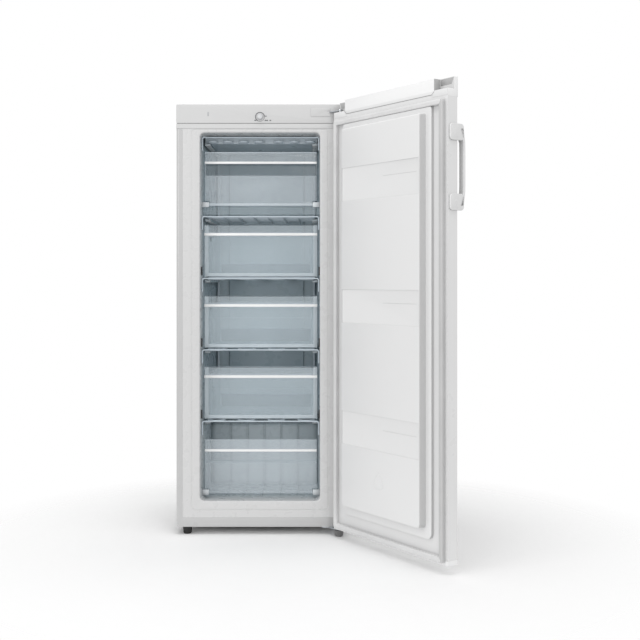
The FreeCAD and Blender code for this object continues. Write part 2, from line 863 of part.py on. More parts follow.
cover_x = ("cover_plate_left", "cover_plate_left + cover_plate_width")
slot_clear = block(("hinge_slot_left", "hinge_slot_left + hinge_slot_width"), ("-hinge_reach", "steel"),
                   ("deck_level - hinge_plate", "deck_level + 2 * hinge_plate"))
keep(cut(rounded(cover_x, ("-cover_plate_proud", "0"), ("cover_plate_level", "cover_plate_level + cover_plate_height"),
                 "2", along="y"), slot_clear), "hinge_cover_plate")

back_two = [(0, 1), (1, 1)]
lid = cut(
    rounded(across("half_width"), ("fascia_depth", "cabinet_depth"), ("deck_level", "cabinet_top"),
            "corner_radius", corners=back_two),
    rounded(across("half_width - moulding_wall"), ("fascia_depth - steel", "cabinet_depth - moulding_wall"),
            ("deck_level - steel", "cabinet_top - moulding_wall"), "corner_radius - moulding_wall",
            corners=back_two),
)
keep(lid, "top_lid")

thermostat_bottom = "knob_level - thermostat_height / 2"
housing = block(across("thermostat_width / 2"), ("moulding_wall", "moulding_wall + thermostat_depth"),
                (thermostat_bottom, f"{thermostat_bottom} + thermostat_height"))
shaft_bore = rod("y", ("0", "moulding_wall + thermostat_depth / 2"), ("0", "knob_level"),
                 "shaft_diameter + 2 * pivot_clearance")
keep(cut(housing, shaft_bore), "thermostat_housing")

knob = fuse(
    rod("y", ("-knob_skirt_height - steel / 2", "-steel / 2"), ("0", "knob_level"), "knob_skirt_diameter"),
    rod("y", ("-knob_height", "-knob_skirt_height"), ("0", "knob_level"), "knob_diameter"),
    rod("y", ("-knob_skirt_height", "moulding_wall + thermostat_depth / 2 - steel"), ("0", "knob_level"),
        "shaft_diameter"),
)
keep(knob, "thermostat_knob")

# ---- cold shelves: bent tube with wires laid across it ----

FRONT_TURN = FreeCAD.Rotation(FreeCAD.Vector(0, 0, 1), 180)
REAR_TURN = FreeCAD.Rotation()
LIFTED_TURN = FreeCAD.Rotation(FreeCAD.Vector(1, 0, 0), SIZES["bend_tilt"])


def ball(centre, diameter):
    solid = doc.addObject("Part::Sphere", "ball")
    bind(solid, base_at(*centre))
    bind(solid, {"Radius": f"({diameter}) / 2"})
    return solid


def serpentine(legs, front_end, back_end, lifted):
    """Tube legs along Y at level 0, joined by turns in front and behind in turn.

    The two outer legs run on to the risers. Lifted turns stand up behind the shelf, as pieces of
    their own that are brazed on in a bead. They come second.
    """
    solids, brazed_on = [], []
    for index, x in enumerate(legs):
        last = "end_leg_back" if index in (0, len(legs) - 1) else back_end
        solids.append(rod("y", (front_end, last), (x, "0"), "tube_diameter"))
    for index, (left, right) in enumerate(zip(legs, legs[1:])):
        middle = f"({left} + {right}) / 2"
        radius = f"({right} - {left}) / 2"
        if index % 2 == 0:
            solids.append(bend(radius, "tube_diameter", "180", (middle, front_end, "0"), FRONT_TURN))
            continue
        if not lifted:
            solids.append(bend(radius, "tube_diameter", "180", (middle, back_end, "0"), REAR_TURN))
            continue
        solids += [ball((x, back_end, "0"), "tube_diameter + joint_bead") for x in (left, right)]
        beads = [ball((x, back_end, "0"), "tube_diameter + joint_bead") for x in (left, right)]
        turn = bend(radius, "tube_diameter", "180", (middle, back_end, "0"), LIFTED_TURN)
        brazed_on.append(cut(turn, *beads))
    return solids, brazed_on


shelf_legs = [f"({index} * leg_pitch - end_leg)" for index in range(SIZES["shelf_legs"])]
shelf_wires = [
    rod("x", across("end_leg + tube_radius"), (f"wire_start + {index} * wire_pitch", "wire_level"),
        "wire_diameter")
    for index in range(SIZES["shelf_wires"])
]
shelf_tube, lifted_turns = serpentine(shelf_legs, "leg_front", "leg_back", True)
lifted_shelf = together(fuse(*shelf_tube, *shelf_wires), *lifted_turns)
shelf_tube, _ = serpentine(shelf_legs, "leg_front", "leg_back", False)
flat_shelf = fuse(*shelf_tube, *shelf_wires)
for label, level in SHELF_LEVELS.items():
    at_zero = lifted_shelf if label == "evaporator_shelf_one" else flat_shelf
    keep(moved(at_zero, z=level), label)

ceiling_legs = [
    f"({index} * ceiling_leg_pitch - end_leg)" if index < SIZES["ceiling_legs_left"]
    else f"({index} * ceiling_leg_pitch - end_leg + ceiling_leg_gap)"
    for index in range(SIZES["ceiling_legs_left"] + SIZES["ceiling_legs_right"])
]
holding_strips = [
    block(across("end_leg + tube_radius"), (f"{y}", f"{y} + strip_height"),
          ("tube_radius - wire_sink", "tube_radius + wire_diameter"))
    for y in ("ledge_front + ledge_height", "ledge_back - 2 * strip_height")
]
ceiling_tube, _ = serpentine(ceiling_legs, "leg_front", "leg_back", False)
ceiling_at_zero = fuse(*ceiling_tube, *holding_strips)
keep(moved(ceiling_at_zero, z="ceiling_level"), "evaporator_ceiling")

riser_bottom = "bay_top - riser_tail"
keep(together(*[
    rod("z", (riser_bottom, "ceiling_level + tube_radius"), (x, "riser_back"), "tube_diameter")
    for x in ("-end_leg", "end_leg")
]), "evaporator_risers")

keep(rounded(across("trim_half"), ("trim_front", "trim_front + trim_depth"),
             ("trim_bottom", "trim_bottom + trim_height"), "2", along="x"), "shelf_front_trim")

# ---- tilting flaps and the blocks that they turn in ----


def pivot_block(level):
    half = "pivot_block / 2"
    body = block(("pivot_block_x", "opening_half - pivot_block_draft"),
                 (f"pivot_depth - {half}", f"pivot_depth + {half}"), (f"{level} - {half}", f"{level} + {half}"))
    bore = rod("x", ("pivot_block_x - steel", "pivot_pin_end + pivot_gap"), ("pivot_depth", level),
               "pivot_diameter + 2 * pivot_clearance")
    return cut(body, bore)


blocks = [within_cavity(pivot_block(level)) for level in ("top_flap_pivot", "bottom_flap_pivot")]
keep(together(*blocks, *[mirrored(one) for one in blocks]), "flap_pivot_blocks")


def flap(level):
    """An upright panel on a round root, with a finger pocket under its grip bar and a pin at each end."""
    y = ("pivot_depth - flap_thickness / 2", "pivot_depth + flap_thickness / 2")
    top = f"{level} + flap_height"
    bar = f"{level} + flap_bar_level"
    pocket_floor = f"{level} + flap_pocket_level"
    pocket_back = "pivot_depth + flap_pocket_depth"
    panel = fuse(
        rounded(across("flap_width / 2"), y, (f"{level} + flap_rise", top), "flap_corner", along="y",
                corners=[(0, 1), (1, 1)]),
        block(across("flap_root_half"), y, (level, f"{level} + flap_rise + steel")),
        rod("x", across("flap_root_half"), ("pivot_depth", level), "flap_root_diameter"),
        rod("x", across("pivot_pin_end"), ("pivot_depth", level), "pivot_diameter"),
        rounded(across("flap_width / 2"),
                (f"{y[0]} - flap_bar_proud", f"{y[0]} + steel"), (bar, f"{bar} + flap_bar_height"),
                "2", along="x", corners=[(0, 0), (0, 1)]),
        rounded(across("flap_width / 2"), (y[0], pocket_back),
                (f"{pocket_floor} - flap_wall", f"{bar} + flap_wall"), "flap_pocket_round", along="x",
                corners=[(1, 0), (1, 1)]),
        rounded(across("flap_width / 2"), (f"{y[0]} - flap_lip", y[1]), (f"{top} - flap_lip", top), "1.5",
                along="x", corners=[(0, 0), (0, 1)]),
    )
    pocket = rounded(across("flap_width / 2 - flap_wall"),
                     (f"{y[0]} - steel", f"{pocket_back} - flap_wall"), (pocket_floor, bar),
                     "flap_pocket_round - flap_wall", along="x", corners=[(1, 0), (1, 1)])
    return cut(panel, pocket)


keep(flap("top_flap_pivot"), "flap_top")
keep(flap("bottom_flap_pivot"), "flap_bottom")

# ---- drawers ----


def tub():
    """An open tub at level 0 that narrows towards the back."""

    def space(inset, front, back, floor):
        half = f"tub_width / 2 - {inset}"
        rear = f"tub_width / 2 - tub_draft - {inset}"
        top = "tub_height + 3 * tub_radius"
        return tapered((front, back), (*across(half), floor, top), (*across(rear), floor, top),
                       f"tub_radius - {inset}")

    outside = space("0", "tub_front", "tub_back", "0")
    inside = space("tub_wall", "tub_front + tub_wall", "tub_back - tub_wall", "tub_wall")
    above = block(across("half_width"), ("tub_front - steel", "tub_back + steel"),
                  ("tub_height", "tub_height + 4 * tub_radius"))
    return cut(outside, inside, above)


def drawer_front():
    """A front at level 0 with raised sides and foot, a grip bar and a finger hollow under it."""
    half = "drawer_width / 2"
    face = "drawer_front + drawer_rib_proud"
    grip_top = "grip_level + grip_height"
    board = fuse(
        rounded(across(half), (face, "tub_front"), ("0", "drawer_height"), "edge_radius", along="y"),
        rounded(("-drawer_width / 2", "drawer_rib_width - drawer_width / 2"), ("drawer_front", "tub_front"),
                ("0", "drawer_height"), "edge_radius", along="y", corners=[(0, 0), (0, 1)]),
        rounded(("drawer_width / 2 - drawer_rib_width", "drawer_width / 2"), ("drawer_front", "tub_front"),
                ("0", "drawer_height"), "edge_radius", along="y", corners=[(1, 0), (1, 1)]),
        rounded(across(half), ("drawer_front", "tub_front"), ("0", "drawer_rib_width"), "edge_radius",
                along="y", corners=[(0, 0), (1, 0)]),
        rounded(across(half), ("drawer_front - grip_proud", "tub_front"), ("grip_level", grip_top),
                "edge_radius / 2", along="x", corners=[(0, 0), (0, 1)]),
    )
    hollow = rounded(across("drawer_width / 2 - drawer_rib_width"),
                     ("drawer_front - steel", f"{face} + hollow_depth"),
                     ("grip_level - hollow_height", "grip_level"), "edge_radius / 2", along="x",
                     corners=[(1, 0), (1, 1)])
    return cut(board, hollow)


tub_at_zero = tub()
front_at_zero = drawer_front()
for index in range(3):
    floor = f"drawer_floor + {2 - index} * drawer_pitch"
    keep(moved(tub_at_zero, z=floor), f"drawer_{index + 1}_tub")
    keep(moved(front_at_zero, z=floor), f"drawer_{index + 1}_front")

# ---- hinges ----

pin_hole = "hinge_pin_diameter + 2 * pin_fit"
hinge_centre = ("hinge_x", "hinge_y")

arm = doc.addObject("Part::Box", "arm")
arm.Placement = FreeCAD.Placement(FreeCAD.Vector(), FreeCAD.Rotation(FreeCAD.Vector(0, 0, 1),
                                                                    SIZES["hinge_arm_angle"]))
bind(arm, base_at("hinge_x + hinge_arm_width / 2 * sin(hinge_arm_angle)",
                  "hinge_y - hinge_arm_width / 2 * cos(hinge_arm_angle)", "deck_level"))
bind(arm, {"Length": "hinge_arm_length", "Width": "hinge_arm_width", "Height": "hinge_plate"})
upper_z = ("deck_level", "deck_level + hinge_plate")
top_bracket = cut(
    fuse(
        arm,
        rod("z", upper_z, hinge_centre, "hinge_arm_width"),
        rounded(("arm_end_x - hinge_arm_width / 2", "arm_end_x + hinge_arm_width"),
                ("arm_end_y - hinge_arm_width / 2", "control_bay_depth + 2 * edge_radius"), upper_z,
                "edge_radius / 2"),
        rounded(("hinge_plate_left", "hinge_plate_right"), ("control_bay_depth + edge_radius", "hinge_plate_depth"),
                upper_z, "edge_radius"),
    ),
    rod("z", ("deck_level - steel", "deck_level + hinge_plate + steel"), hinge_centre, pin_hole),
    *upper_screw_holes,
)
keep(top_bracket, "top_hinge_bracket")

lower_z = ("floor_gap - hinge_plate", "floor_gap")
right_foot = ("right_foot_x", "-right_foot_front")
bottom_bracket = cut(
    fuse(
        plate([
            ("bracket_left", "bracket_back"),
            ("bracket_right", "bracket_back"),
            ("bracket_right", "hinge_y"),
            ("hinge_x", "hinge_y - bracket_ear / 2"),
            ("hinge_x - bracket_nose", "hinge_y - 2 * steel"),
            ("bracket_left + bracket_shoulder", "0"),
            ("bracket_left", "0"),
        ], *lower_z),
        rod("z", lower_z, hinge_centre, "2 * bracket_ear"),
    ),
    rod("z", ("0", "floor_gap + steel"), hinge_centre, pin_hole),
    rod("z", ("0", "floor_gap + steel"), right_foot, "stud_diameter + 2 * stud_fit"),
    *lower_screw_holes,
)
keep(bottom_bracket, "bottom_hinge_bracket")

top_pin = fuse(
    rod("z", ("cap_recess_level - pin_depth", "deck_level + hinge_plate"), hinge_centre, "hinge_pin_diameter"),
    rod("z", ("deck_level + hinge_plate", "deck_level + hinge_plate + pin_head_height"), hinge_centre,
        "pin_head_diameter"),
)
bottom_pin = rod("z", ("floor_gap - hinge_plate", "door_bottom + pin_depth"), hinge_centre, "hinge_pin_diameter")
keep(together(top_pin, bottom_pin), "hinge_pins")
keep(together(*upper_screws, *lower_screws), "hinge_screws")

# ---- feet ----


def front_foot(centre, height, stud_top):
    return fuse(
        cone(("0", height), centre, "foot_sole_diameter", "foot_top_diameter"),
        rod("z", (f"{height} - steel", stud_top), centre, "stud_diameter"),
    )


keep(front_foot(("left_foot_x", "left_foot_back"), "left_foot_height", "left_foot_height + stud_length"),
     "foot_front_left")
keep(front_foot(right_foot, "right_foot_height", "floor_gap"), "foot_front_right")
keep(together(*[
    rod("z", ("0", "floor_gap"), (x, "cabinet_depth - rear_foot_margin"), "foot_top_diameter")
    for x in ("rear_foot_inset - half_width", "half_width - rear_foot_inset")
]), "rear_feet")

# ---- compressor bay ----

compressor_x = "-compressor_left"
bolt_places = [
    (f"{compressor_x} + {sign_x} * mount_bolt_spacing / 2", f"compressor_back + {sign_y} * mount_spacing / 2")
    for sign_x in (-1, 1)
    for sign_y in (-1, 1)
]
bolt_holes = [
    rod("z", ("floor_gap - steel", "can_bottom + steel"), centre, "bolt_diameter + 2 * screw_fit")
    for centre in bolt_places
]
gland_y = ("cabinet_depth - gland_length", "cabinet_depth")
gland_centre = ("gland_offset", "gland_level")
tray = cut(
    fuse(
        block(across("panel_inner"), ("bay_front", "back_inner"), ("floor_gap", "tray_top")),
        block(across("panel_inner"), ("back_inner - tray_thickness", "back_inner"),
              ("floor_gap", "floor_gap + tray_flange")),
    ),
    *bolt_holes,
    rod("y", gland_y, gland_centre, "gland_diameter + 2 * screw_fit"),
)
keep(tray, "base_tray")

shroud_half = "half_width - shroud_margin"
shroud = cut(
    fuse(
        block(across(shroud_half), ("bay_front", "bay_front + steel"), ("tray_top", "bay_top")),
        block(across(shroud_half), ("bay_front", "back_inner"), ("bay_top - steel", "bay_top")),
    ),
    *riser_holes,
)
keep(shroud, "bay_shroud")


def rounded_can(ends, diameter, top):
    """A round can whose lower or upper rim is rounded."""
    body = doc.addObject("PartDesign::Body", "can")
    can = body.newObject("PartDesign::AdditiveCylinder", "can_body")
    bind(can, base_at(compressor_x, "compressor_back", ends[0]))
    bind(can, {"Radius": f"({diameter}) / 2", "Height": f"({ends[1]}) - ({ends[0]})"})
    doc.recompute()
    level = number(ends[1] if top else ends[0])
    rims = [
        f"Edge{index}"
        for index, edge in enumerate(can.Shape.Edges, 1)
        if len(edge.Vertexes) == 1 and abs(edge.Vertexes[0].Z - level) < 0.1
    ]
    return filleted(body, can, rims, "can_round")


compressor = cut(
    fuse(
        rounded_can(("can_bottom", "seam_level"), "lower_can_diameter", False),
        rounded_can(("seam_level", "seam_level + upper_can_height"), "upper_can_diameter", True),
        rod("z", ("seam_level - seam_height / 2", "seam_level + seam_height / 2"),
            (compressor_x, "compressor_back"), "seam_diameter"),
        rod("z", ("can_bottom", "can_bottom + can_round"), (compressor_x, "compressor_back"), "mount_spacing"),
        *[
            rounded((f"{compressor_x} - mount_width / 2", f"{compressor_x} + mount_width / 2"),
                    (f"{y} - mount_strip / 2", f"{y} + mount_strip / 2"),
                    ("can_bottom - hinge_plate", "can_bottom + edge_radius / 4"), "edge_radius")
            for y in ("compressor_back - mount_spacing / 2", "compressor_back + mount_spacing / 2")
        ],
    ),
    *bolt_holes,
)
keep(compressor, "compressor")
grommets = [
    cut(rod("z", ("tray_top", "tray_top + grommet_height"), centre, "grommet_diameter"), hole)
    for centre, hole in zip(bolt_places, bolt_holes)
]
keep(together(*grommets), "compressor_grommets")
bolts = [
    fuse(
        rod("z", ("floor_gap", "can_bottom + 2 * steel"), centre, "bolt_diameter"),
        rod("z", ("can_bottom + steel", "can_bottom + steel + edge_radius"), centre, "bolt_head_diameter"),
    )
    for centre in bolt_places
]
keep(together(*bolts), "compressor_bolts")

relay_left = f"{compressor_x} + lower_can_diameter / 2 + tube_clearance"
keep(rounded((relay_left, f"{relay_left} + relay_width"),
             ("compressor_back - relay_depth / 2", "compressor_back + relay_depth / 2"),
             ("relay_level", "relay_level + relay_height"), "edge_radius"), "compressor_relay_box")

gland = cut(
    fuse(
        rod("y", gland_y, gland_centre, "gland_diameter"),
        rod("y", ("back_inner", "cabinet_depth"), gland_centre, "gland_diameter + 2 * edge_radius"),
    ),
    rod("y", ("0", "2 * cabinet_depth"), gland_centre, "gland_bore"),
)
keep(gland, "cord_gland")

# ---- refrigerant pipes ----


def pipe(corners, diameter):
    """Straight runs along the axes between corners, with a ball at each inner corner."""
    solids = [ball(corner, diameter) for corner in corners[1:-1]]
    for start, end in zip(corners, corners[1:]):
        gaps = [number(b) - number(a) for a, b in zip(start, end)]
        main = max(range(3), key=lambda i: abs(gaps[i]))
        ends = (start[main], end[main]) if gaps[main] > 0 else (end[main], start[main])
        solids.append(rod("xyz"[main], ends, [start[i] for i in range(3) if i != main], diameter))
    return fuse(*solids)


def condenser_coil(x):
    """Upright legs against the side sheet, with turns at the top and at the foot."""
    solids = []
    count = SIZES["coil_legs"]
    legs = [f"compressor_back - {count - 1 - index} * coil_leg_pitch" for index in range(count)]
    upper = FreeCAD.Rotation(FreeCAD.Vector(0, 1, 0), FreeCAD.Vector(0, 0, 1), FreeCAD.Vector(1, 0, 0), "XYZ")
    lower = FreeCAD.Rotation(FreeCAD.Vector(0, 1, 0), FreeCAD.Vector(0, 0, -1), FreeCAD.Vector(-1, 0, 0), "XYZ")
    for index, y in enumerate(legs):
        foot = {0: "coil_bottom - pipe_bend", count - 1: "coil_tail"}.get(index, "coil_bottom")
        solids.append(rod("z", (foot, "coil_top"), (x, y), "pipe_diameter"))
    for index, y in enumerate(legs[:-1]):
        middle = f"{y} + coil_leg_pitch / 2"
        level = "coil_top" if index % 2 == 0 else "coil_bottom"
        turn = upper if index % 2 == 0 else lower
        solids.append(bend("coil_leg_pitch / 2", "pipe_diameter", "180", (x, middle, level), turn))
    return fuse(*solids)


left_coil = condenser_coil("-coil_x")
keep(together(left_coil, mirrored(left_coil), pipe(frame_pipe_corners, "pipe_diameter")), "condenser_pipe")

keep(pipe([
    (f"{compressor_x} - upper_can_diameter / 2 - pin_fit", "compressor_back", "suction_level"),
    ("-coil_x", "compressor_back", "suction_level"),
    ("-coil_x", "compressor_back", "coil_tail"),
], "pipe_diameter"), "discharge_pipe")

dryer_x = ("gland_offset - dryer_length / 2", "gland_offset + dryer_length / 2")
dryer_centre = ("compressor_back", "dryer_level")
dryer = fuse(
    rod("x", dryer_x, dryer_centre, "dryer_diameter"),
    pipe([
        ("coil_x", "compressor_back", "coil_tail"),
        ("coil_x", "compressor_back", "dryer_level"),
        (dryer_x[1], "compressor_back", "dryer_level"),
    ], "pipe_diameter"),
)
keep(dryer, "filter_dryer")

capillary_x = f"{dryer_x[0]} - dryer_diameter"
keep(pipe([
    (dryer_x[0], "compressor_back", "dryer_level"),
    (capillary_x, "compressor_back", "dryer_level"),
    (capillary_x, "cabinet_depth - dryer_diameter", "dryer_level"),
    (capillary_x, "cabinet_depth - dryer_diameter", "capillary_level"),
    ("-end_leg", "cabinet_depth - dryer_diameter", "capillary_level"),
    ("-end_leg", "riser_back", "capillary_level"),
    ("-end_leg", "riser_back", riser_bottom),
], "capillary_diameter"), "capillary_pipe")

keep(pipe([
    ("end_leg", "riser_back", riser_bottom),
    ("end_leg", "riser_back", "suction_level"),
    (f"{compressor_x} + upper_can_diameter / 2 - steel", "riser_back", "suction_level"),
], "tube_diameter"), "suction_pipe")

# ---- door, built closed ----

door_y = ("door_outer", "door_inner")
body_z = ("door_body_bottom", "door_body_top")

skin = cut(
    rounded(across("half_width"), door_y, body_z, "door_edge_radius", corners=both_corners),
    rounded(across("panel_inner"), ("door_outer + steel", "door_inner + steel"),
            ("door_body_bottom - steel", "door_body_top + steel"), "door_edge_radius - steel",
            corners=both_corners),
)


def door_rise(inset):
    """The raised parts of the door's liner: a wide step and a tall plateau on it."""
    ledge = (*across(f"ledge_half - {inset}"), f"ledge_bottom + {inset}", f"ledge_top - {inset}")
    low = (*across(f"plateau_half - {inset}"), f"plateau_bottom + {inset}", f"plateau_top - {inset}")
    high = (
        *across(f"plateau_half - plateau_draft - {inset}"),
        f"plateau_bottom + plateau_draft + {inset}",
        f"plateau_top - plateau_draft - {inset}",
    )
    root = "door_inner - liner_wall - steel"
    return (
        tapered((root, f"door_inner + ledge_rise - {inset}"), ledge, ledge, f"ledge_radius - {inset}"),
        tapered((root, f"door_inner + plateau_rise - {inset}"), low, high, f"ledge_radius - {inset}"),
    )


liner_y = ("door_inner - liner_wall", "door_inner")
liner_tabs = block(("half_width - cap_recess_length", "panel_inner"), liner_y,
                   ("liner_top_level - steel", "cap_recess_level - steel"))
behind_liner = block(across("half_width"), ("door_outer", "door_inner - liner_wall"), ("0", "cabinet_top"))
belts = [
    tapered(("door_inner + plateau_rise - belt_depth", "door_inner + plateau_rise + steel"),
            (*across("belt_half"), f"{low} + belt_depth", f"{high} - belt_depth"),
            (*across("belt_half + belt_depth"), low, high), "ledge_radius / 2")
    for low, high in (("belt_bottom + 2 * belt_pitch", "belt_top + 2 * belt_pitch"),
                      ("belt_bottom + belt_pitch", "belt_top + belt_pitch"),
                      ("belt_bottom", "belt_top"))
]
belt_backs = [
    tapered(("door_inner + plateau_rise - belt_depth - liner_wall", "door_inner + plateau_rise"),
            (*across("belt_half + liner_wall"), f"{low} - liner_wall", f"{high} + liner_wall"),
            (*across("belt_half + liner_wall"), f"{low} - liner_wall", f"{high} + liner_wall"),
            "ledge_radius / 2")
    for low, high in (("belt_bottom + 2 * belt_pitch", "belt_top + 2 * belt_pitch"),
                      ("belt_bottom + belt_pitch", "belt_top + belt_pitch"),
                      ("belt_bottom", "belt_top"))
]
outer_rise = door_rise("0")
inner_rise = cut(fuse(*door_rise("liner_wall")), *belt_backs)
liner = cut(
    fuse(
        block(across("panel_inner"), liner_y, ("door_body_bottom", "liner_top_level")),
        liner_tabs, mirrored(liner_tabs), *outer_rise,
    ),
    inner_rise, behind_liner, *belts,
)
door_core = fuse(
    rounded(across("panel_inner"), ("door_outer + steel", "door_inner - liner_wall"), body_z,
            "door_edge_radius - steel", corners=both_corners),
    cut(inner_rise, behind_liner),
)

gasket = cut(
    rounded(across("gasket_half"), ("door_inner", "-gasket_gap"), ("gasket_bottom", "gasket_top"),
            "gasket_radius", along="y"),
    rounded(across("gasket_half - gasket_width"), ("door_inner - steel", "steel"),
            ("gasket_bottom + gasket_width", "gasket_top - gasket_width"), "gasket_radius / 2", along="y"),
)

cap_z = ("door_body_top", "cabinet_top")
recess_x = ("half_width - cap_recess_length", "half_width + steel")
recess_y = ("door_inner - cap_recess_depth", "door_inner + steel")
recess = block(recess_x, recess_y, ("cap_recess_level", "cabinet_top + steel"))
recess_wall = block(("half_width - cap_recess_length - moulding_wall", "half_width"),
                    ("door_inner - cap_recess_depth - moulding_wall", "door_inner"),
                    ("cap_recess_level - moulding_wall", "cabinet_top"))
liner_lip = fuse(
    block(across("panel_inner"), liner_y, ("door_body_top - steel", "liner_top_level")),
    liner_tabs, mirrored(liner_tabs),
)
cap_pocket = cut(
    rounded(across("half_width - moulding_wall"), ("door_outer + moulding_wall", "door_inner - 2 * moulding_wall"),
            ("door_body_top - steel", "cabinet_top - moulding_wall"), "door_edge_radius - moulding_wall",
            corners=both_corners),
    recess_wall, mirrored(recess_wall),
    rod("z", ("0", "cap_recess_level"), hinge_centre, "bush_diameter + 3 * moulding_wall"),
)
top_bush_hole = rod("z", ("door_body_top - steel", "cap_recess_level + steel"), hinge_centre, "bush_diameter")
top_cap = cut(
    rounded(across("half_width"), ("door_outer - top_cap_proud", "door_inner"), cap_z, "door_edge_radius",
            corners=both_corners),
    recess, mirrored(recess), cap_pocket, liner_lip, top_bush_hole,
)

low_cap_z = ("door_bottom", "door_body_bottom")
low_pocket = cut(
    rounded(across("half_width - moulding_wall"), ("door_outer + moulding_wall", "door_inner - moulding_wall"),
            ("door_bottom + moulding_wall", "door_body_bottom + steel"), "door_edge_radius - moulding_wall",
            corners=both_corners),
    rod("z", ("0", "cabinet_top"), hinge_centre, "bush_diameter + 3 * moulding_wall"),
)
stop_x = "hinge_x - stop_offset"
stop_lug = rounded((f"{stop_x} - stop_size / 2", f"{stop_x} + stop_size / 2"),
                   ("-stop_reach - stop_size / 2", "-stop_reach + stop_size / 2"),
                   ("door_bottom - stop_drop", "door_bottom + steel"), "steel")
bottom_bush_hole = rod("z", ("0", "door_body_bottom + steel"), hinge_centre, "bush_diameter")
bottom_cap = cut(
    fuse(
        cut(
            rounded(across("half_width"), ("door_outer - bottom_cap_proud", "door_inner"), low_cap_z,
                    "door_edge_radius", corners=both_corners),
            low_pocket,
        ),
        stop_lug,
    ),
    bottom_bush_hole,
)


pin_bore = rod("z", ("0", "2 * cabinet_top"), hinge_centre, pin_hole)
top_bush = cut(
    rod("z", ("cap_recess_level - bush_depth", "cap_recess_level + bush_flange"), hinge_centre,
        "bush_diameter"),
    pin_bore,
)
bottom_bush = cut(
    fuse(
        rod("z", ("door_bottom", "door_bottom + bush_depth"), hinge_centre, "bush_diameter"),
        rod("z", ("door_bottom - bush_flange", "door_bottom"), hinge_centre, "bush_flange_diameter"),
    ),
    pin_bore,
)

# ---- door handle, on the free edge ----

pad_x = ("-half_width - handle_pad_proud", "-half_width")
bar_x = ("-half_width - handle_pad_proud", "-half_width - handle_pad_proud + grip_bar_width")
pad_y = ("door_outer - handle_pad_reach", "door_inner - handle_pad_start")
bar_y = ("handle_face", "handle_face + grip_bar_depth")
pad_levels = ("handle_level", "pad_top_level")
screw_y = "(door_outer + door_inner) / 2"
cover_y = (f"{screw_y} - handle_cover_width / 2", f"{screw_y} + handle_cover_width / 2")
cover_x = ("-half_width - handle_pad_proud", "-half_width - handle_pad_proud + handle_cover_depth")

handle_covers = []
handle_screws = []
handle_screw_holes = []
for level in pad_levels:
    middle = f"{level} + handle_pad_height / 2"
    handle_covers.append(
        rounded(cover_x, cover_y, (f"{middle} - handle_cover_height / 2", f"{middle} + handle_cover_height / 2"),
                "edge_radius", along="x"))
    for side in (-1, 1):
        centre = (screw_y, f"{middle} + {side} * handle_screw_spacing / 2")
        head = (cover_x[1], f"{cover_x[1]} + handle_screw_seat")
        shank = (head[1], f"{head[1]} + handle_screw_length")
        handle_screws.append(fuse(
            rod("x", head, centre, "handle_screw_head"),
            rod("x", shank, centre, "handle_screw_diameter"),
        ))
        handle_screw_holes.append(fuse(
            rod("x", head, centre, "handle_screw_head + 2 * screw_fit"),
            rod("x", shank, centre, "handle_screw_diameter + 2 * screw_fit"),
        ))

handle = fuse(
    *[
        rounded(pad_x, pad_y, (level, f"{level} + handle_pad_height"), "handle_radius", along="x")
        for level in pad_levels
    ],
    *[
        rounded(bar_x, (pad_y[0], "door_outer"), (f"{level} + edge_radius / 2", f"{level} + handle_pad_height"),
                "edge_radius", along="x", corners=[(0, 0), (0, 1)])
        for level in pad_levels
    ],
    rounded(bar_x, bar_y, ("handle_level + handle_end", "handle_level + handle_height - handle_end"),
            "grip_bar_depth / 2 - steel / 2"),
)
handle = cut(handle, *handle_covers, *handle_screw_holes)

swing = FreeCAD.Rotation(FreeCAD.Vector(0, 0, 1), SIZES["door_open_angle"])


def keep_on_door(solid, label):
    """The closed piece, swung about the hinge pins to where it stands open."""
    swung = together(solid)
    swung.Placement = FreeCAD.Placement(FreeCAD.Vector(), swing)
    bind(swung, base_at(
        "hinge_x - hinge_x * cos(door_open_angle) + hinge_y * sin(door_open_angle)",
        "hinge_y - hinge_x * sin(door_open_angle) - hinge_y * cos(door_open_angle)",
        "0",
    ))
    keep(swung, label)


keep_on_door(cut(skin, *handle_screw_holes), "door_skin")
keep_on_door(cut(door_core, *handle_screw_holes), "door_foam")
keep_on_door(liner, "door_liner")
keep_on_door(gasket, "door_gasket")
keep_on_door(top_cap, "door_top_cap")
keep_on_door(bottom_cap, "door_bottom_cap")
keep_on_door(handle, "door_handle")
keep_on_door(together(*handle_covers), "door_handle_covers")
keep_on_door(together(*handle_screws), "door_handle_screws")
keep_on_door(together(top_bush, bottom_bush), "hinge_bushes")

# ---- checks and export ----

doc.recompute()
faults = []
for thing in doc.Objects:
    if "Invalid" in thing.State or "Error" in thing.State:
        faults.append(f"{thing.Label}: {thing.State}")
for piece in pieces:
    shape = piece.Shape
    if shape.isNull() or not shape.isValid() or not shape.Solids:
        faults.append(f"{piece.Label}: its shape is empty or not valid")
if faults:
    raise RuntimeError("; ".join(faults))

os.makedirs("parts", exist_ok=True)
for piece in pieces:
    piece.Shape.exportStep(f"parts/{piece.Label}.step")
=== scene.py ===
"""An upright freezer with its door open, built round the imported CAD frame."""

import math

import bmesh
import bpy
from mathutils import Matrix, Vector


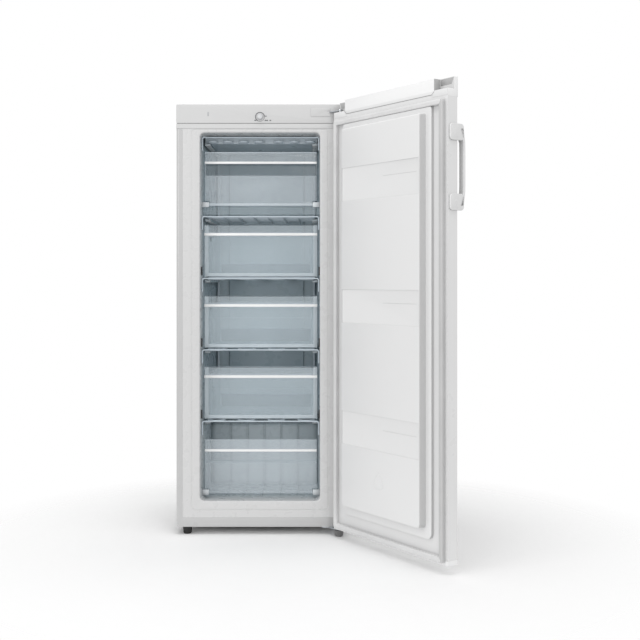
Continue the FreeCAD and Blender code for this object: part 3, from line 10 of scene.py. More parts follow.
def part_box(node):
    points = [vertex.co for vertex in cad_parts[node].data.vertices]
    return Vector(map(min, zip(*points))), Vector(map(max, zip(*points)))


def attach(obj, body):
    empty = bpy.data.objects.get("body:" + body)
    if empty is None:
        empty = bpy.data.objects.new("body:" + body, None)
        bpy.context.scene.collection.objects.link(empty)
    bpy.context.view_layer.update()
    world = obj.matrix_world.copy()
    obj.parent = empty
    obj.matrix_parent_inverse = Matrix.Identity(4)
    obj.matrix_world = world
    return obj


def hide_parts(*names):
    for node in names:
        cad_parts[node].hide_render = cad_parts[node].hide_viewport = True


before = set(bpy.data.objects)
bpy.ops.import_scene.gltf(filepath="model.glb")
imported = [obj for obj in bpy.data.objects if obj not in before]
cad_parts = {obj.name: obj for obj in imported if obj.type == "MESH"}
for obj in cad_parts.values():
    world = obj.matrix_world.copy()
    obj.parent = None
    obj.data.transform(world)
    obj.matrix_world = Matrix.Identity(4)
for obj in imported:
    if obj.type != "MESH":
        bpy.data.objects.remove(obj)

bl_info = {
    "name": "Upright freezer",
    "blender": (4, 5, 0),
    "version": (1, 0, 0),
    "location": "View3D > Sidebar > Freezer",
    "description": "Builds an upright freezer with its door open, on its packed frame",
    "category": "Object",
}

MM = 0.001
SHARP = math.radians(32)
SOFTENED_FROM = math.radians(40)
HINGE = Vector((264.5, -30.0, 0.0))
OPEN_ANGLE = math.radians(125)
DOOR = Matrix.Translation(HINGE) @ Matrix.Rotation(OPEN_ANGLE, 4, "Z") @ Matrix.Translation(-HINGE)
HERE = Matrix.Identity(4)

# ---- sizes and places in millimetres, and counts ----

# The cabinet, its top mouldings and the knob
HALF_WIDTH, CABINET_DEPTH, CABINET_TOP = 276.5, 523.0, 1420.0
LID_BOTTOM, PANEL_BOTTOM, PANEL_DEPTH = 1392.0, 1356.0, 24.0
MOULDING_WALL = 2.5
KNOB_LEVEL, KNOB_RIDGES = 1378, 28

# The food cavity. The drafts are how much a side and the top come in over its whole depth
CAVITY_HALF, CAVITY_FLOOR, CAVITY_TOP, CAVITY_DEPTH = 198.0, 111.0, 1326.0, 430.0
SIDE_DRAFT, TOP_DRAFT = 13.0, 4.0
CAVITY_CORNER, BACK_RADIUS, LIP_RADIUS = 16.0, 18.0, 5.0
RIM_HALF, RIM_LOW, RIM_HIGH = 255.5, 57.0, 1339.0
RIB_PITCH, RIBS_EACH_SIDE = 60.0, 2
RAIL_HALF, RAIL_RADIUS, HOOK_DROP = 193.6, 2.4, 44.0

# The cold shelves and the flaps
SHELF_LEVELS = {"one": 1050.0, "two": 844.0, "three": 606.0, "four": 368.0}
CEILING_LEVEL = 1305.0
TUBE_RADIUS, FIRST_LEG, FRONT_TURNS, REAR_TURNS, LEG_ENDS = 4.0, -176.75, 76.0, 388.0, 407.9
SHELF_LEGS, SHELF_LEG_PITCH = 8, 50.5
CEILING_LEGS, CEILING_LEG_PITCH, LEFT_LEGS, MIDDLE_GAP = 14, 26.0, 8, 15.5
SHELF_WIRES, FIRST_WIRE, WIRE_PITCH, WIRE_HALF = 10, 92.0, 31.5, 180.2
FLAP_LEVELS = {"flap_top": 1092.0, "flap_bottom": 130.0}

# Where the clear plastic changes its tone: heights over a piece's own foot, and depths. The flap band and
# drawer grips get a painted highlight, the flap pocket and tub step painted shade, and dark lines are painted
# along the drawer fronts' edges at EDGE_DEPTH
FLAP_BAND_LOW, FLAP_BAND_HIGH, FLAP_BAND_FRONT = 133, 147, 52.0
FLAP_POCKET_LOW, FLAP_POCKET_HIGH, FLAP_POCKET_HALF, FLAP_POCKET_FRONT = 98, 137, 185, 57.5
FLAP_RIM, FLAP_THICK_FRONT = 175, 52.8
TUB_RIM, TUB_BACK, STEP_SIDE, STEP_LOW, STEP_HIGH = 149, 20, 14, 4, 48
GRIP_FRONT, GRIP_BACK, DRAWER_HEAD = 56.0, 57.6, 147
EDGE_DEPTH, CATCH_HEAD = 56.6, 134
CATCH_HEIGHTS = {1: 15, 2: 5}

# The door, as it lies when it is shut
BORDER_HALF, BORDER_LOW, BORDER_HIGH = 275.2, 42.3, 1373.7
LEDGE_HALF, LEDGE_LOW, LEDGE_HIGH = 215.5, 90.0, 1340.8
PLATEAU_HALF, PLATEAU_LOW, PLATEAU_HIGH = 192.5, 119.0, 1323.0
BELT_LEVELS, BELT_HALF, BELT_HEIGHT = (320.0, 704.5, 1089.0), 187.5, 106.0
DROP_LEVEL = 231.0
SEAL_HALF, SEAL_LOW, SEAL_HIGH = 264.5, 36.0, 1356.0
HANDLE_LOW, HANDLE_HEIGHT, PAD_HEIGHT, HANDLE_FACE = 1038.0, 248.0, 48.0, -283.4
RECESS_INNER, RECESS_OUTER, RECESS_LOW, RECESS_HIGH = 215, 222, 1384, 1419
RECESS_FRONT, RECESS_BACK = -38, -30

FOOT_GRIPS = 18

# The camera's place is in metres, its shift a share of the picture's width
CAMERA_PLACE, SENSOR_WIDTH, CAMERA_SHIFT = (0.198, -3.417, 0.840), 36.0, -0.0625


# ---- settings ----

class FreezerLooks(bpy.types.PropertyGroup):
    """How the freezer's surfaces are finished."""
    edge_width: bpy.props.FloatProperty(
        name="Edge width", description="How wide the rounding on a moulded edge is, in millimetres",
        default=0.9, min=0.1, max=2.0)
    glaze: bpy.props.FloatProperty(
        name="Clear plastic", description="How much of what is behind the clear plastic is hidden",
        default=0.05, min=0.0, max=1.0, subtype="FACTOR")
    peel: bpy.props.FloatProperty(
        name="Enamel texture", description="How strongly the enamel's fine texture shows",
        default=0.035, min=0.0, max=1.0, subtype="FACTOR")


class FreezerStage(bpy.types.PropertyGroup):
    """The floor, lights and camera round the freezer."""
    floor_size: bpy.props.FloatProperty(
        name="Floor size", description="How wide the floor is", default=9.0, min=2.0, unit="LENGTH")
    key_power: bpy.props.FloatProperty(
        name="Key light", description="The power of the large light at the front", default=12.0, min=0.0,
        unit="POWER")
    left_power: bpy.props.FloatProperty(
        name="Left light", description="The power of the light on the door's inner face", default=24.0,
        min=0.0, unit="POWER")
    top_power: bpy.props.FloatProperty(
        name="Top light", description="The power of the light overhead", default=27.0, min=0.0, unit="POWER")
    fill_power: bpy.props.FloatProperty(
        name="Fill light", description="The power of the light on the door's side", default=20.0, min=0.0,
        unit="POWER")
    sky: bpy.props.FloatProperty(
        name="Surrounding light", description="How bright the light from all round is", default=0.68, min=0.0)
    lens: bpy.props.FloatProperty(
        name="Lens", description="The camera's focal length in millimetres", default=58.275, min=10.0)


# ---- shapes, in millimetres ----

def outline(u, v, radius, steps=6):
    """A rectangle with round corners, anticlockwise, as points (u, v)."""
    (u0, u1), (v0, v1) = u, v
    radius = max(min(radius, (u1 - u0) / 2 - 1e-3, (v1 - v0) / 2 - 1e-3), 0.02)
    points = []
    for cu, cv, start in ((u1 - radius, v1 - radius, 0), (u0 + radius, v1 - radius, 90),
                          (u0 + radius, v0 + radius, 180), (u1 - radius, v0 + radius, 270)):
        for step in range(steps + 1):
            angle = math.radians(start + 90 * step / steps)
            points.append((cu + radius * math.cos(angle), cv + radius * math.sin(angle)))
    return points


def rounded_path(corners, steps=5):
    """Points round an outline of corners (u, v, radius), each corner turned into an arc."""
    points, count = [], len(corners)
    for index, (u, v, radius) in enumerate(corners):
        here = Vector((u, v))
        if radius < 1e-6:
            points.append((u, v))
            continue
        before = Vector(corners[index - 1][:2]) - here
        after = Vector(corners[(index + 1) % count][:2]) - here
        half = before.angle(after) / 2
        cut = radius / math.tan(half)
        a, b = before.normalized() * cut, after.normalized() * cut
        centre = (a + b).normalized() * (radius / math.sin(half))
        first, last = a - centre, b - centre
        turn = first.angle_signed(last)
        for step in range(steps + 1):
            arm = Matrix.Rotation(-turn * step / steps, 2) @ first
            points.append(tuple(here + centre + arm))
    return points


def bent_path(corners, radius, steps=8):
    """Points in space along a path with round bends."""
    points = [Vector(corners[0])]
    for before, here, after in zip(corners, corners[1:], corners[2:]):
        here = Vector(here)
        a, b = Vector(before) - here, Vector(after) - here
        half = a.angle(b) / 2
        cut = radius / math.tan(half)
        a.normalize()
        b.normalize()
        centre = here + (a + b).normalized() * (radius / math.sin(half))
        first, last = here + a * cut - centre, here + b * cut - centre
        axis, turn = first.cross(last).normalized(), first.angle(last)
        for step in range(steps + 1):
            points.append(centre + Matrix.Rotation(turn * step / steps, 3, axis) @ first)
    points.append(Vector(corners[-1]))
    return points


def placed(axis, w, points):
    """Puts flat points (u, v) in space, w along the axis."""
    if axis == "x":
        return [(w, u, v) for u, v in points]
    if axis == "y":
        return [(u, w, v) for u, v in points]
    return [(u, v, w) for u, v in points]


def grown(points, by):
    """An outline moved outwards by that much, or inwards for less than nothing."""
    area = sum(a[0] * b[1] - b[0] * a[1] for a, b in zip(points, points[1:] + points[:1]))
    sign = 1 if area > 0 else -1
    moved = []
    for before, here, after in zip(points[-1:] + points[:-1], points, points[1:] + points[:1]):
        a = (Vector(here) - Vector(before)).normalized()
        b = (Vector(after) - Vector(here)).normalized()
        normal = Vector((a.y + b.y, -a.x - b.x)).normalized() * sign
        along = max(normal.dot(Vector((a.y, -a.x)) * sign), 0.5)
        moved.append(tuple(Vector(here) + normal * (by / along)))
    return moved


class Shape:
    """Closed surfaces gathered into one mesh."""

    def __init__(self):
        self.points, self.faces = [], []

    def loft(self, rings, closed=False):
        """A skin over rings of points. It is closed by its two ends, or runs round into itself."""
        base, size = len(self.points), len(rings[0])
        for ring in rings:
            self.points.extend(tuple(point) for point in ring)
        count = len(rings)
        for row in range(count if closed else count - 1):
            one, two = base + row * size, base + (row + 1) % count * size
            for k in range(size):
                after = (k + 1) % size
                self.faces.append((one + k, one + after, two + after, two + k))
        if not closed:
            self.faces.append(tuple(range(base + size - 1, base - 1, -1)))
            self.faces.append(tuple(range(base + (count - 1) * size, base + count * size)))
        return self

    def drawn(self, axis, w, edge, steps, section):
        """A flat section drawn out along the axis. Towards both ends it is asked for with a growing inset."""
        turns = [math.radians(90 * step / steps) for step in range(steps + 1)]
        rings = []
        for start, way in ((w[0], 1), (w[1], -1)):
            part = [placed(axis, start + way * edge * (1 - math.cos(a)), section(edge * (1 - math.sin(a))))
                    for a in turns]
            rings.extend(part if way > 0 else part[::-1])
        return self.loft(rings)

    def slab(self, axis, u, v, w, corner=2.0, edge=0.8, steps=3, corner_steps=6):
        """A plate with round corners and round edges, w along the axis."""
        def section(inset):
            return outline((u[0] + inset, u[1] - inset), (v[0] + inset, v[1] - inset),
                           max(corner - inset, 0.05), corner_steps)

        return self.drawn(axis, w, min(edge, (w[1] - w[0]) / 2 - 1e-3), steps, section)

    def prism(self, axis, points, w, edge=0.5, steps=2):
        """A flat outline drawn out along the axis, with round edges at both ends."""
        return self.drawn(axis, w, edge, steps, lambda inset: grown(points, -inset))

    def tube(self, path, radius, sides=14, closed=False):
        """A round bar along a path, which may run round into itself."""
        path = [Vector(point) for point in path]
        count = len(path)
        rings, normal, last = [], None, None
        for index, here in enumerate(path):
            before = path[index - 1] if index or closed else here
            after = path[(index + 1) % count] if index < count - 1 or closed else here
            along = (after - before).normalized()
            if normal is None:
                normal = along.orthogonal().normalized()
            else:
                normal = (last.rotation_difference(along) @ normal).normalized()
            last, side = along, along.cross(normal)
            rings.append([here + (normal * math.cos(a) + side * math.sin(a)) * radius
                          for a in (2 * math.pi * k / sides for k in range(sides))])
        return self.loft(rings, closed)

    def lathe(self, profile, centre, axis, sides):
        """A turned shape. The profile is points (radius, height), from one end to the other."""
        rings = []
        for radius, height in profile:
            ring = [(radius * math.cos(a), radius * math.sin(a))
                    for a in (2 * math.pi * k / sides for k in range(sides))]
            rings.append([Vector(p) + Vector(centre) for p in placed(axis, height, ring)])
        return self.loft(rings)

    def cup(self, axis, u, v, ends, corner, edge, wall):
        """A box with one open side, from its rim at ends[0] to its closed side at ends[1]."""
        rim, shut = ends
        way = 1 if shut > rim else -1
        depth = abs(shut - rim)

        def level(away, inset):
            flat = outline((u[0] + inset, u[1] - inset), (v[0] + inset, v[1] - inset),
                           max(corner - inset, 0.1))
            return placed(axis, rim + way * away, flat)

        turns = [math.radians(a) for a in (90, 60, 30, 0)]
        inner = max(edge - wall, 0.4)
        rings = [level(depth - wall - inner * (1 - math.sin(a)), wall + inner * (1 - math.cos(a)))
                 for a in turns]
        rings += [level(0.4, wall), level(0, wall + 0.3), level(0, 0.3), level(0.4, 0)]
        rings += [level(depth - edge * (1 - math.sin(a)), edge * (1 - math.cos(a))) for a in turns[::-1]]
        return self.loft(rings)

    def join(self, other, move=None):
        """Another shape's surfaces as well, moved on the way."""
        base = len(self.points)
        self.points += [tuple(move @ Vector(p)) if move else tuple(p) for p in other.points]
        self.faces += [tuple(base + k for k in face) for face in other.faces]
        return self

    def across(self):
        """The same surfaces again, mirrored to the other side."""
        base = len(self.points)
        self.points += [(-x, y, z) for x, y, z in map(tuple, self.points)]
        self.faces += [tuple(base + k for k in reversed(face)) for face in self.faces]
        return self


def mesh_of(name, shape, place=HERE):
    """A Blender mesh of that shape, in metres, with its sharp edges marked."""
    gathered = bmesh.new()
    corners = [gathered.verts.new((place @ Vector(point)) * MM) for point in shape.points]
    for face in shape.faces:
        gathered.faces.new([corners[k] for k in face])
    bmesh.ops.remove_doubles(gathered, verts=gathered.verts, dist=1e-6)
    bmesh.ops.recalc_face_normals(gathered, faces=gathered.faces)
    mesh = bpy.data.meshes.new(name)
    gathered.to_mesh(mesh)
    gathered.free()
    return smoothed(mesh)


def smoothed(mesh):
    """The same mesh, shaded smooth up to its sharp edges."""
    mesh.shade_smooth()
    mesh.set_sharp_from_angle(angle=SHARP)
    return mesh


def show(name, mesh, body, nodes, slot, finish=None):
    """Puts a mesh in the scene in place of these nodes, with the finish of its slot."""
    made = bpy.data.objects.new(name, mesh)
    bpy.context.scene.collection.objects.link(made)
    if not mesh.materials:
        mesh.materials.append(finish or material(slot))
    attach(made, body)
    if nodes:
        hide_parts(*nodes)
    return made


def piece(name, shape, body, nodes, slot, place=HERE, finish=None):
    """Puts a shape in the scene in place of these nodes."""
    return show(name, mesh_of(name, shape, place), body, nodes, slot, finish)


def softened(node, body, slot, width=None, finish=None):
    """A copy of a node's mesh with its sharp edges rounded."""
    width = width or bpy.context.scene.freezer_looks.edge_width
    gathered = bmesh.new()
    gathered.from_mesh(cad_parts[node].data)
    bmesh.ops.remove_doubles(gathered, verts=gathered.verts, dist=2e-6)
    bmesh.ops.dissolve_limit(
        gathered, angle_limit=math.radians(1.5), verts=gathered.verts, edges=gathered.edges)
    mesh = bpy.data.meshes.new(f"{node}_shown")
    gathered.to_mesh(mesh)
    gathered.free()
    holder = bpy.data.objects.new(f"{node}_work", mesh)
    bpy.context.scene.collection.objects.link(holder)
    bevel = holder.modifiers.new("edges", "BEVEL")
    bevel.width, bevel.segments = width * MM, 2
    bevel.limit_method, bevel.angle_limit = "ANGLE", SOFTENED_FROM
    bevel.harden_normals = False
    view = bpy.context.evaluated_depsgraph_get()
    result = bpy.data.meshes.new_from_object(holder.evaluated_get(view))
    bpy.data.objects.remove(holder)
    result.materials.clear()
    return show(f"{node}_shown", smoothed(result), body, [node], slot, finish)


def kept(nodes, slot):
    """CAD nodes shown as they are, with the finish of their slot."""
    for name in nodes:
        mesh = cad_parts[name].data
        mesh.materials.clear()
        mesh.materials.append(material(slot))
        smoothed(mesh)


# ---- finishes ----

class Wire:
    """A shader value that takes part in sums as a number does, on either side."""

    def __init__(self, graph, socket):
        self.graph, self.socket = graph, socket

    def __add__(self, other):
        return self.graph.maths("ADD", self, other)

    def __sub__(self, other):
        return self.graph.maths("SUBTRACT", self, other)

    def __rsub__(self, other):
        return self.graph.maths("SUBTRACT", other, self)

    def __mul__(self, other):
        return self.graph.maths("MULTIPLY", self, other)

    def __pow__(self, other):
        return self.graph.maths("POWER", self, other)

    def __rpow__(self, other):
        return self.graph.maths("POWER", other, self)

    __radd__ = __add__
    __rmul__ = __mul__

    def between(self, low, high, start=0.0, end=1.0):
        """The value moved from low..high to start..end, and held there."""
        node = self.graph.node("ShaderNodeMapRange", {"clamp": True}, {
            "Value": self, "From Min": low, "From Max": high, "To Min": start, "To Max": end})
        return self.graph.out(node)


class Graph:
    """The node tree of a new material, or of an owner that is given, written as sums."""

    def __init__(self, name, owner=None):
        self.material = owner or bpy.data.materials.new(name)
        self.material.use_nodes = True
        self.tree = self.material.node_tree
        self.tree.nodes.clear()
        self.place = self.out(self.node("ShaderNodeTexCoord"), "Object")

    def node(self, kind, settings=None, inputs=None):
        made = self.tree.nodes.new(kind)
        for key, value in (settings or {}).items():
            setattr(made, key, value)
        for key, value in (inputs or {}).items():
            if isinstance(value, Wire):
                self.tree.links.new(value.socket, made.inputs[key])
            else:
                made.inputs[key].default_value = value
        return made

    def out(self, node, socket=0):
        return Wire(self, node.outputs[socket])

    def maths(self, operation, *values):
        return self.out(self.node("ShaderNodeMath", {"operation": operation}, dict(enumerate(values))))

    def mix(self, share, first, second):
        node = self.node("ShaderNodeMix", {"data_type": "RGBA"}, {0: share, 6: first, 7: second})
        return self.out(node, 2)

    def noise(self, scale, detail=2.0, rough=0.5, stretch=None):
        place = self.place
        if stretch:
            place = self.out(self.node(
                "ShaderNodeVectorMath", {"operation": "MULTIPLY"}, {0: place, 1: stretch}))
        node = self.node("ShaderNodeTexNoise", None, {
            "Vector": place, "Scale": scale, "Detail": detail, "Roughness": rough})
        return self.out(node)

    def cells(self, scale, socket="Distance"):
        node = self.node("ShaderNodeTexVoronoi", {"feature": "F1"}, {"Vector": self.place, "Scale": scale})
        return self.out(node, socket)

    def crease(self, reach):
        """How open a place is, from 0 deep in a crease to 1 on a free face: the mask for painted shade in
        creases.
        """
        node = self.node("ShaderNodeAmbientOcclusion", {"samples": 6}, {"Distance": reach})
        return self.out(node, "AO")

    def bump(self, height, strength, distance=0.0005):
        node = self.node("ShaderNodeBump", None, {
            "Height": height, "Strength": strength, "Distance": distance})
        return self.out(node, "Normal")

    def surface(self, **inputs):
        """The one surface shader, with its inputs given by name."""
        named = {key.replace("_", " ").title().replace("Ior", "IOR"): value for key, value in inputs.items()}
        return self.out(self.node("ShaderNodeBsdfPrincipled", None, named), "BSDF")

    def done(self, shader):
        self.node("ShaderNodeOutputMaterial", None, {"Surface": shader})
        return self.material


def shade(*levels):
    """A colour from the screen levels of its red, green and blue, or of its grey."""
    levels = levels * 3 if len(levels) == 1 else levels
    linear = [(v / 255 / 12.92) if v <= 10 else ((v / 255 + 0.055) / 1.055) ** 2.4 for v in levels]
    return (*linear, 1.0)


def darker(colour, share):
    """The colour with that share of its light."""
    return (*(c * share for c in colour[:3]), 1.0)


def enamel(name, colour, coat=0.35):
    """Baked enamel on steel: a fine orange peel under a thin gloss."""
    g = Graph(name)
    peel = bpy.context.scene.freezer_looks.peel
    cloud = g.noise(3.0, 3.0)
    fine = g.noise(420.0, 1.0)
    rough = g.noise(22.0, 3.0).between(0.3, 0.7, 0.27, 0.36)
    return g.done(g.surface(
        base_color=g.mix(cloud.between(0.35, 0.65), darker(colour, 0.98), colour), roughness=rough,
        normal=g.bump(fine + g.noise(150.0, 1.0) * 0.6, peel), coat_weight=coat, coat_roughness=0.12))


def moulded(name, colour, rough=(0.3, 0.42)):
    """Moulded plastic: a faint flow in its colour, a fine grain, and painted shade darkening its creases."""
    g = Graph(name)
    flow = g.noise(4.0, 4.0, 0.6, (1.0, 1.0, 0.35))
    tone = g.mix(flow.between(0.35, 0.65), darker(colour, 0.98), colour)
    return g.done(g.surface(
        # Painted shade: the colour darkens where ambient occlusion finds a crease.
        base_color=g.mix(g.crease(0.03).between(0.3, 0.95), darker(colour, 0.6), tone),
        roughness=g.noise(35.0, 3.0).between(0.3, 0.7, *rough),
        normal=g.bump(g.noise(700.0, 2.0), 0.03), ior=1.46))


def formed(name, colour):
    """Thin sheet drawn into shape: glossy, with a soft ripple and painted shade darkening its creases."""
    g = Graph(name)
    ripple = g.noise(7.0, 2.0, 0.5, (1.0, 1.0, 0.5))
    tone = g.mix(g.noise(2.5, 3.0).between(0.35, 0.65), darker(colour, 0.985), colour)
    return g.done(g.surface(
        # Painted shade: the colour darkens where ambient occlusion finds a crease.
        base_color=g.mix(g.crease(0.025).between(0.3, 0.95), darker(colour, 0.72), tone),
        roughness=g.noise(30.0, 3.0).between(0.3, 0.7, 0.3, 0.38),
        normal=g.bump(ripple, 0.05, 0.001), ior=1.5))


def cavity(name, front, back, low, step):
    """The liner's sheet, white at the front. Further in it has painted shade: a cold blue-grey that darkens
    towards the floor, deepest above the low step, and darker in its creases; faces that look down are painted
    light in the front's white.
    """
    g = Graph(name)
    place = g.node("ShaderNodeSeparateXYZ", None, {0: g.place})
    normal = g.out(g.node("ShaderNodeNewGeometry"), "Normal")
    upright = g.out(g.node("ShaderNodeSeparateXYZ", None, {0: normal}), "Z")
    height = g.out(place, "Z")
    # Painted shade: from the back's blue-grey to the darker low tone towards the floor, and the step's tone
    # below the step's top.
    tone = g.mix(height.between(0.45, 1.1), low, back)
    tone = g.mix(height.between(0.4, 0.34), tone, step)
    # Painted light: faces that look down take the white of the front.
    tone = g.mix(upright.between(-0.3, -0.9), tone, front)
    # Painted shade in the creases.
    crease = g.crease(0.02).between(0.35, 0.95)
    tone = g.mix(crease, darker(low, 0.55), tone)
    return g.done(g.surface(
        # White at the front, the painted shade further in.
        base_color=g.mix(g.out(place, "Y").between(0.004, 0.1), front, tone),
        roughness=g.noise(30.0, 3.0).between(0.3, 0.7, 0.24, 0.34),
        normal=g.bump(g.noise(7.0, 2.0, 0.5, (1.0, 1.0, 0.5)), 0.05, 0.001), ior=1.5))


def clear(name, colour, hidden):
    """Clear moulded plastic with a blue tint, deeper where it is seen at a slant."""
    g = Graph(name)
    slant = g.out(g.node("ShaderNodeLayerWeight", None, {"Blend": 0.35}), "Facing")
    flow = g.noise(5.0, 3.0)
    solid = g.surface(
        base_color=g.mix(flow.between(0.35, 0.65), darker(colour, 0.94), colour),
        roughness=g.noise(40.0, 2.0).between(0.3, 0.7, 0.1, 0.17),
        normal=g.bump(g.noise(60.0, 2.0), 0.02), ior=1.5)
    through = g.out(g.node("ShaderNodeBsdfTransparent", None, {"Color": (0.985, 0.992, 0.998, 1.0)}))
    share = (slant ** 1.6).between(0.0, 0.9, hidden, min(hidden + 0.7, 1.0))
    mixed = g.node("ShaderNodeMixShader", None, {0: share, 1: through, 2: solid})
    return g.done(g.out(mixed))


def metal(name, colour, rough, scale=90.0):
    """Bare metal with a cloudy surface."""
    g = Graph(name)
    cloud = g.noise(scale, 3.0, 0.6)
    return g.done(g.surface(
        base_color=g.mix(cloud.between(0.3, 0.7), darker(colour, 0.86), colour), metallic=1.0,
        roughness=cloud.between(0.3, 0.7, *rough), normal=g.bump(cloud, 0.04)))


def spangled(name, colour):
    """Zinc-coated sheet with its crystal pattern."""
    g = Graph(name)
    tone = g.out(g.node("ShaderNodeSeparateColor", None, {"Color": g.cells(110.0, "Color")}))
    return g.done(g.surface(
        base_color=g.mix(tone, darker(colour, 0.78), colour), metallic=1.0,
        roughness=tone.between(0.0, 1.0, 0.3, 0.46), normal=g.bump(g.noise(300.0), 0.03)))


def paint(name, colour):
    """Sprayed paint with a light dust on what faces up."""
    g = Graph(name)
    normal = g.out(g.node("ShaderNodeNewGeometry"), "Normal")
    up = g.out(g.node("ShaderNodeSeparateXYZ", None, {0: normal}), "Z")
    dust = up.between(0.6, 1.0) * g.noise(60.0, 4.0).between(0.4, 0.75, 0.0, 0.35)
    return g.done(g.surface(
        base_color=g.mix(dust, colour, shade(120)), roughness=g.noise(45.0, 3.0).between(0.3, 0.7, 0.35, 0.5),
        normal=g.bump(g.noise(500.0), 0.04), coat_weight=0.15, coat_roughness=0.2))


def rubber(name, colour):
    """Dull rubber or soft plastic with a fine grain."""
    g = Graph(name)
    return g.done(g.surface(
        base_color=g.mix(g.noise(12.0, 4.0).between(0.35, 0.65), darker(colour, 0.93), colour),
        roughness=g.noise(70.0, 3.0).between(0.3, 0.7, 0.5, 0.66),
        normal=g.bump(g.noise(600.0, 2.0), 0.06), ior=1.5))


def foam(name, colour):
    """Set foam with its open cells."""
    g = Graph(name)
    cell = g.cells(420.0)
    return g.done(g.surface(
        base_color=g.mix(cell.between(0.1, 0.6), darker(colour, 0.7), colour),
        roughness=cell.between(0.0, 0.6, 0.95, 0.8), normal=g.bump(cell + g.noise(120.0), 0.5, 0.001)))


def finish_makers():
    """How each finish is made, by the name of its slot or of a tone of it. Several tones are painted light or
    shade: lighter or darker copies of one material.
    """
    looks = bpy.context.scene.freezer_looks
    return {
        "cabinet_enamel": lambda n: enamel(n, shade(194)),
        "door_enamel": lambda n: enamel(n, shade(229)),
        "trim_plastic": lambda n: moulded(n, shade(207)),
        # The door caps: a brighter white than the trim's plastic, painted light from the side.
        "cap_plastic_painted_light": lambda n: moulded(n, shade(240)),
        # Painted shade in the door cap's recess: dark on its side walls and on the web, less dark on its back
        # face.
        "cap_recess": lambda n: moulded(n, shade(178)),
        "cap_recess_back": lambda n: moulded(n, shade(212)),
        "seam": lambda n: rubber(n, shade(150)),
        # The lines along the drawer fronts' top and bottom edges are painted shade, the dark edge that clear
        # plastic shows; the catches share this tone.
        "drawer_edge": lambda n: clear(n, shade(64, 76, 84), 0.75),
        "handle_plastic": lambda n: moulded(n, shade(226), (0.22, 0.32)),
        "liner_plastic": lambda n: formed(n, shade(230)),
        # The door liner's ledge and plateau side walls, written darker: painted shade.
        "liner_plastic_side_shade": lambda n: formed(n, shade(202)),
        # The cavity liner's blue-grey tones, darker lower down, are painted shade; its front tone is white.
        "liner_plastic_inside": lambda n: cavity(
            n, shade(211), shade(172, 187, 194), shade(148, 164, 172), shade(176, 186, 191)),
        "block_plastic": lambda n: moulded(n, shade(226, 231, 234)),
        "drawer_plastic": lambda n: clear(n, shade(218, 231, 237), looks.glaze + 0.09),
        "drawer_plastic_flap": lambda n: clear(n, shade(222, 231, 237), looks.glaze + 0.2),
        "drawer_plastic_back": lambda n: clear(n, shade(222, 235, 241), looks.glaze + 0.2),
        # A darker copy of the clear plastic for the tub's step: painted shade.
        "drawer_plastic_step_shade": lambda n: clear(n, shade(136, 149, 158), looks.glaze + 0.3),
        "drawer_plastic_thick": lambda n: clear(n, shade(226, 236, 242), looks.glaze + 0.5),
        # A near-white, nearly solid tone on the flap bars and drawer grips: painted highlight.
        "drawer_plastic_highlight": lambda n: clear(n, shade(252), 0.96),
        # A darker, more solid tone in the top flap's pocket: painted shade.
        "drawer_plastic_pocket_shade": lambda n: clear(n, shade(126, 138, 144), looks.glaze + 0.35),
        # The seal's free side takes the darker tone: painted shade; the rest has the light one.
        "seal_rubber": lambda n: rubber(n, shade(198)),
        "seal_rubber_light": lambda n: rubber(n, shade(224)),
        "knob_plastic": lambda n: moulded(n, shade(212, 213, 215), (0.3, 0.4)),
        "plug_plastic": lambda n: moulded(n, shade(180, 182, 184)),
        "black_foot": lambda n: rubber(n, shade(30)),
        "grey_foot": lambda n: rubber(n, shade(118)),
        # White enamel written in a blue-grey: painted shade of the cavity.
        "tube_enamel": lambda n: enamel(n, shade(186, 197, 205), 0.5),
        "foam": lambda n: foam(n, shade(226, 206, 150)),
        "zinc_sheet": lambda n: spangled(n, shade(186, 190, 194)),
        "bright_steel": lambda n: metal(n, shade(206, 208, 210), (0.18, 0.3)),
        "compressor_paint": lambda n: paint(n, shade(26)),
        "copper": lambda n: metal(n, shade(206, 128, 92), (0.26, 0.42), 60.0),
        "grommet_rubber": lambda n: rubber(n, shade(38)),
        "relay_plastic": lambda n: moulded(n, shade(46, 46, 48), (0.4, 0.5)),
        "bush_plastic": lambda n: moulded(n, shade(214, 214, 210), (0.35, 0.45)),
    }


def material(slot):
    """The finish of that name, made when it is first asked for."""
    name = f"{slot}_finish"
    return bpy.data.materials.get(name) or finish_makers()[slot](name)


# ---- the stage ----

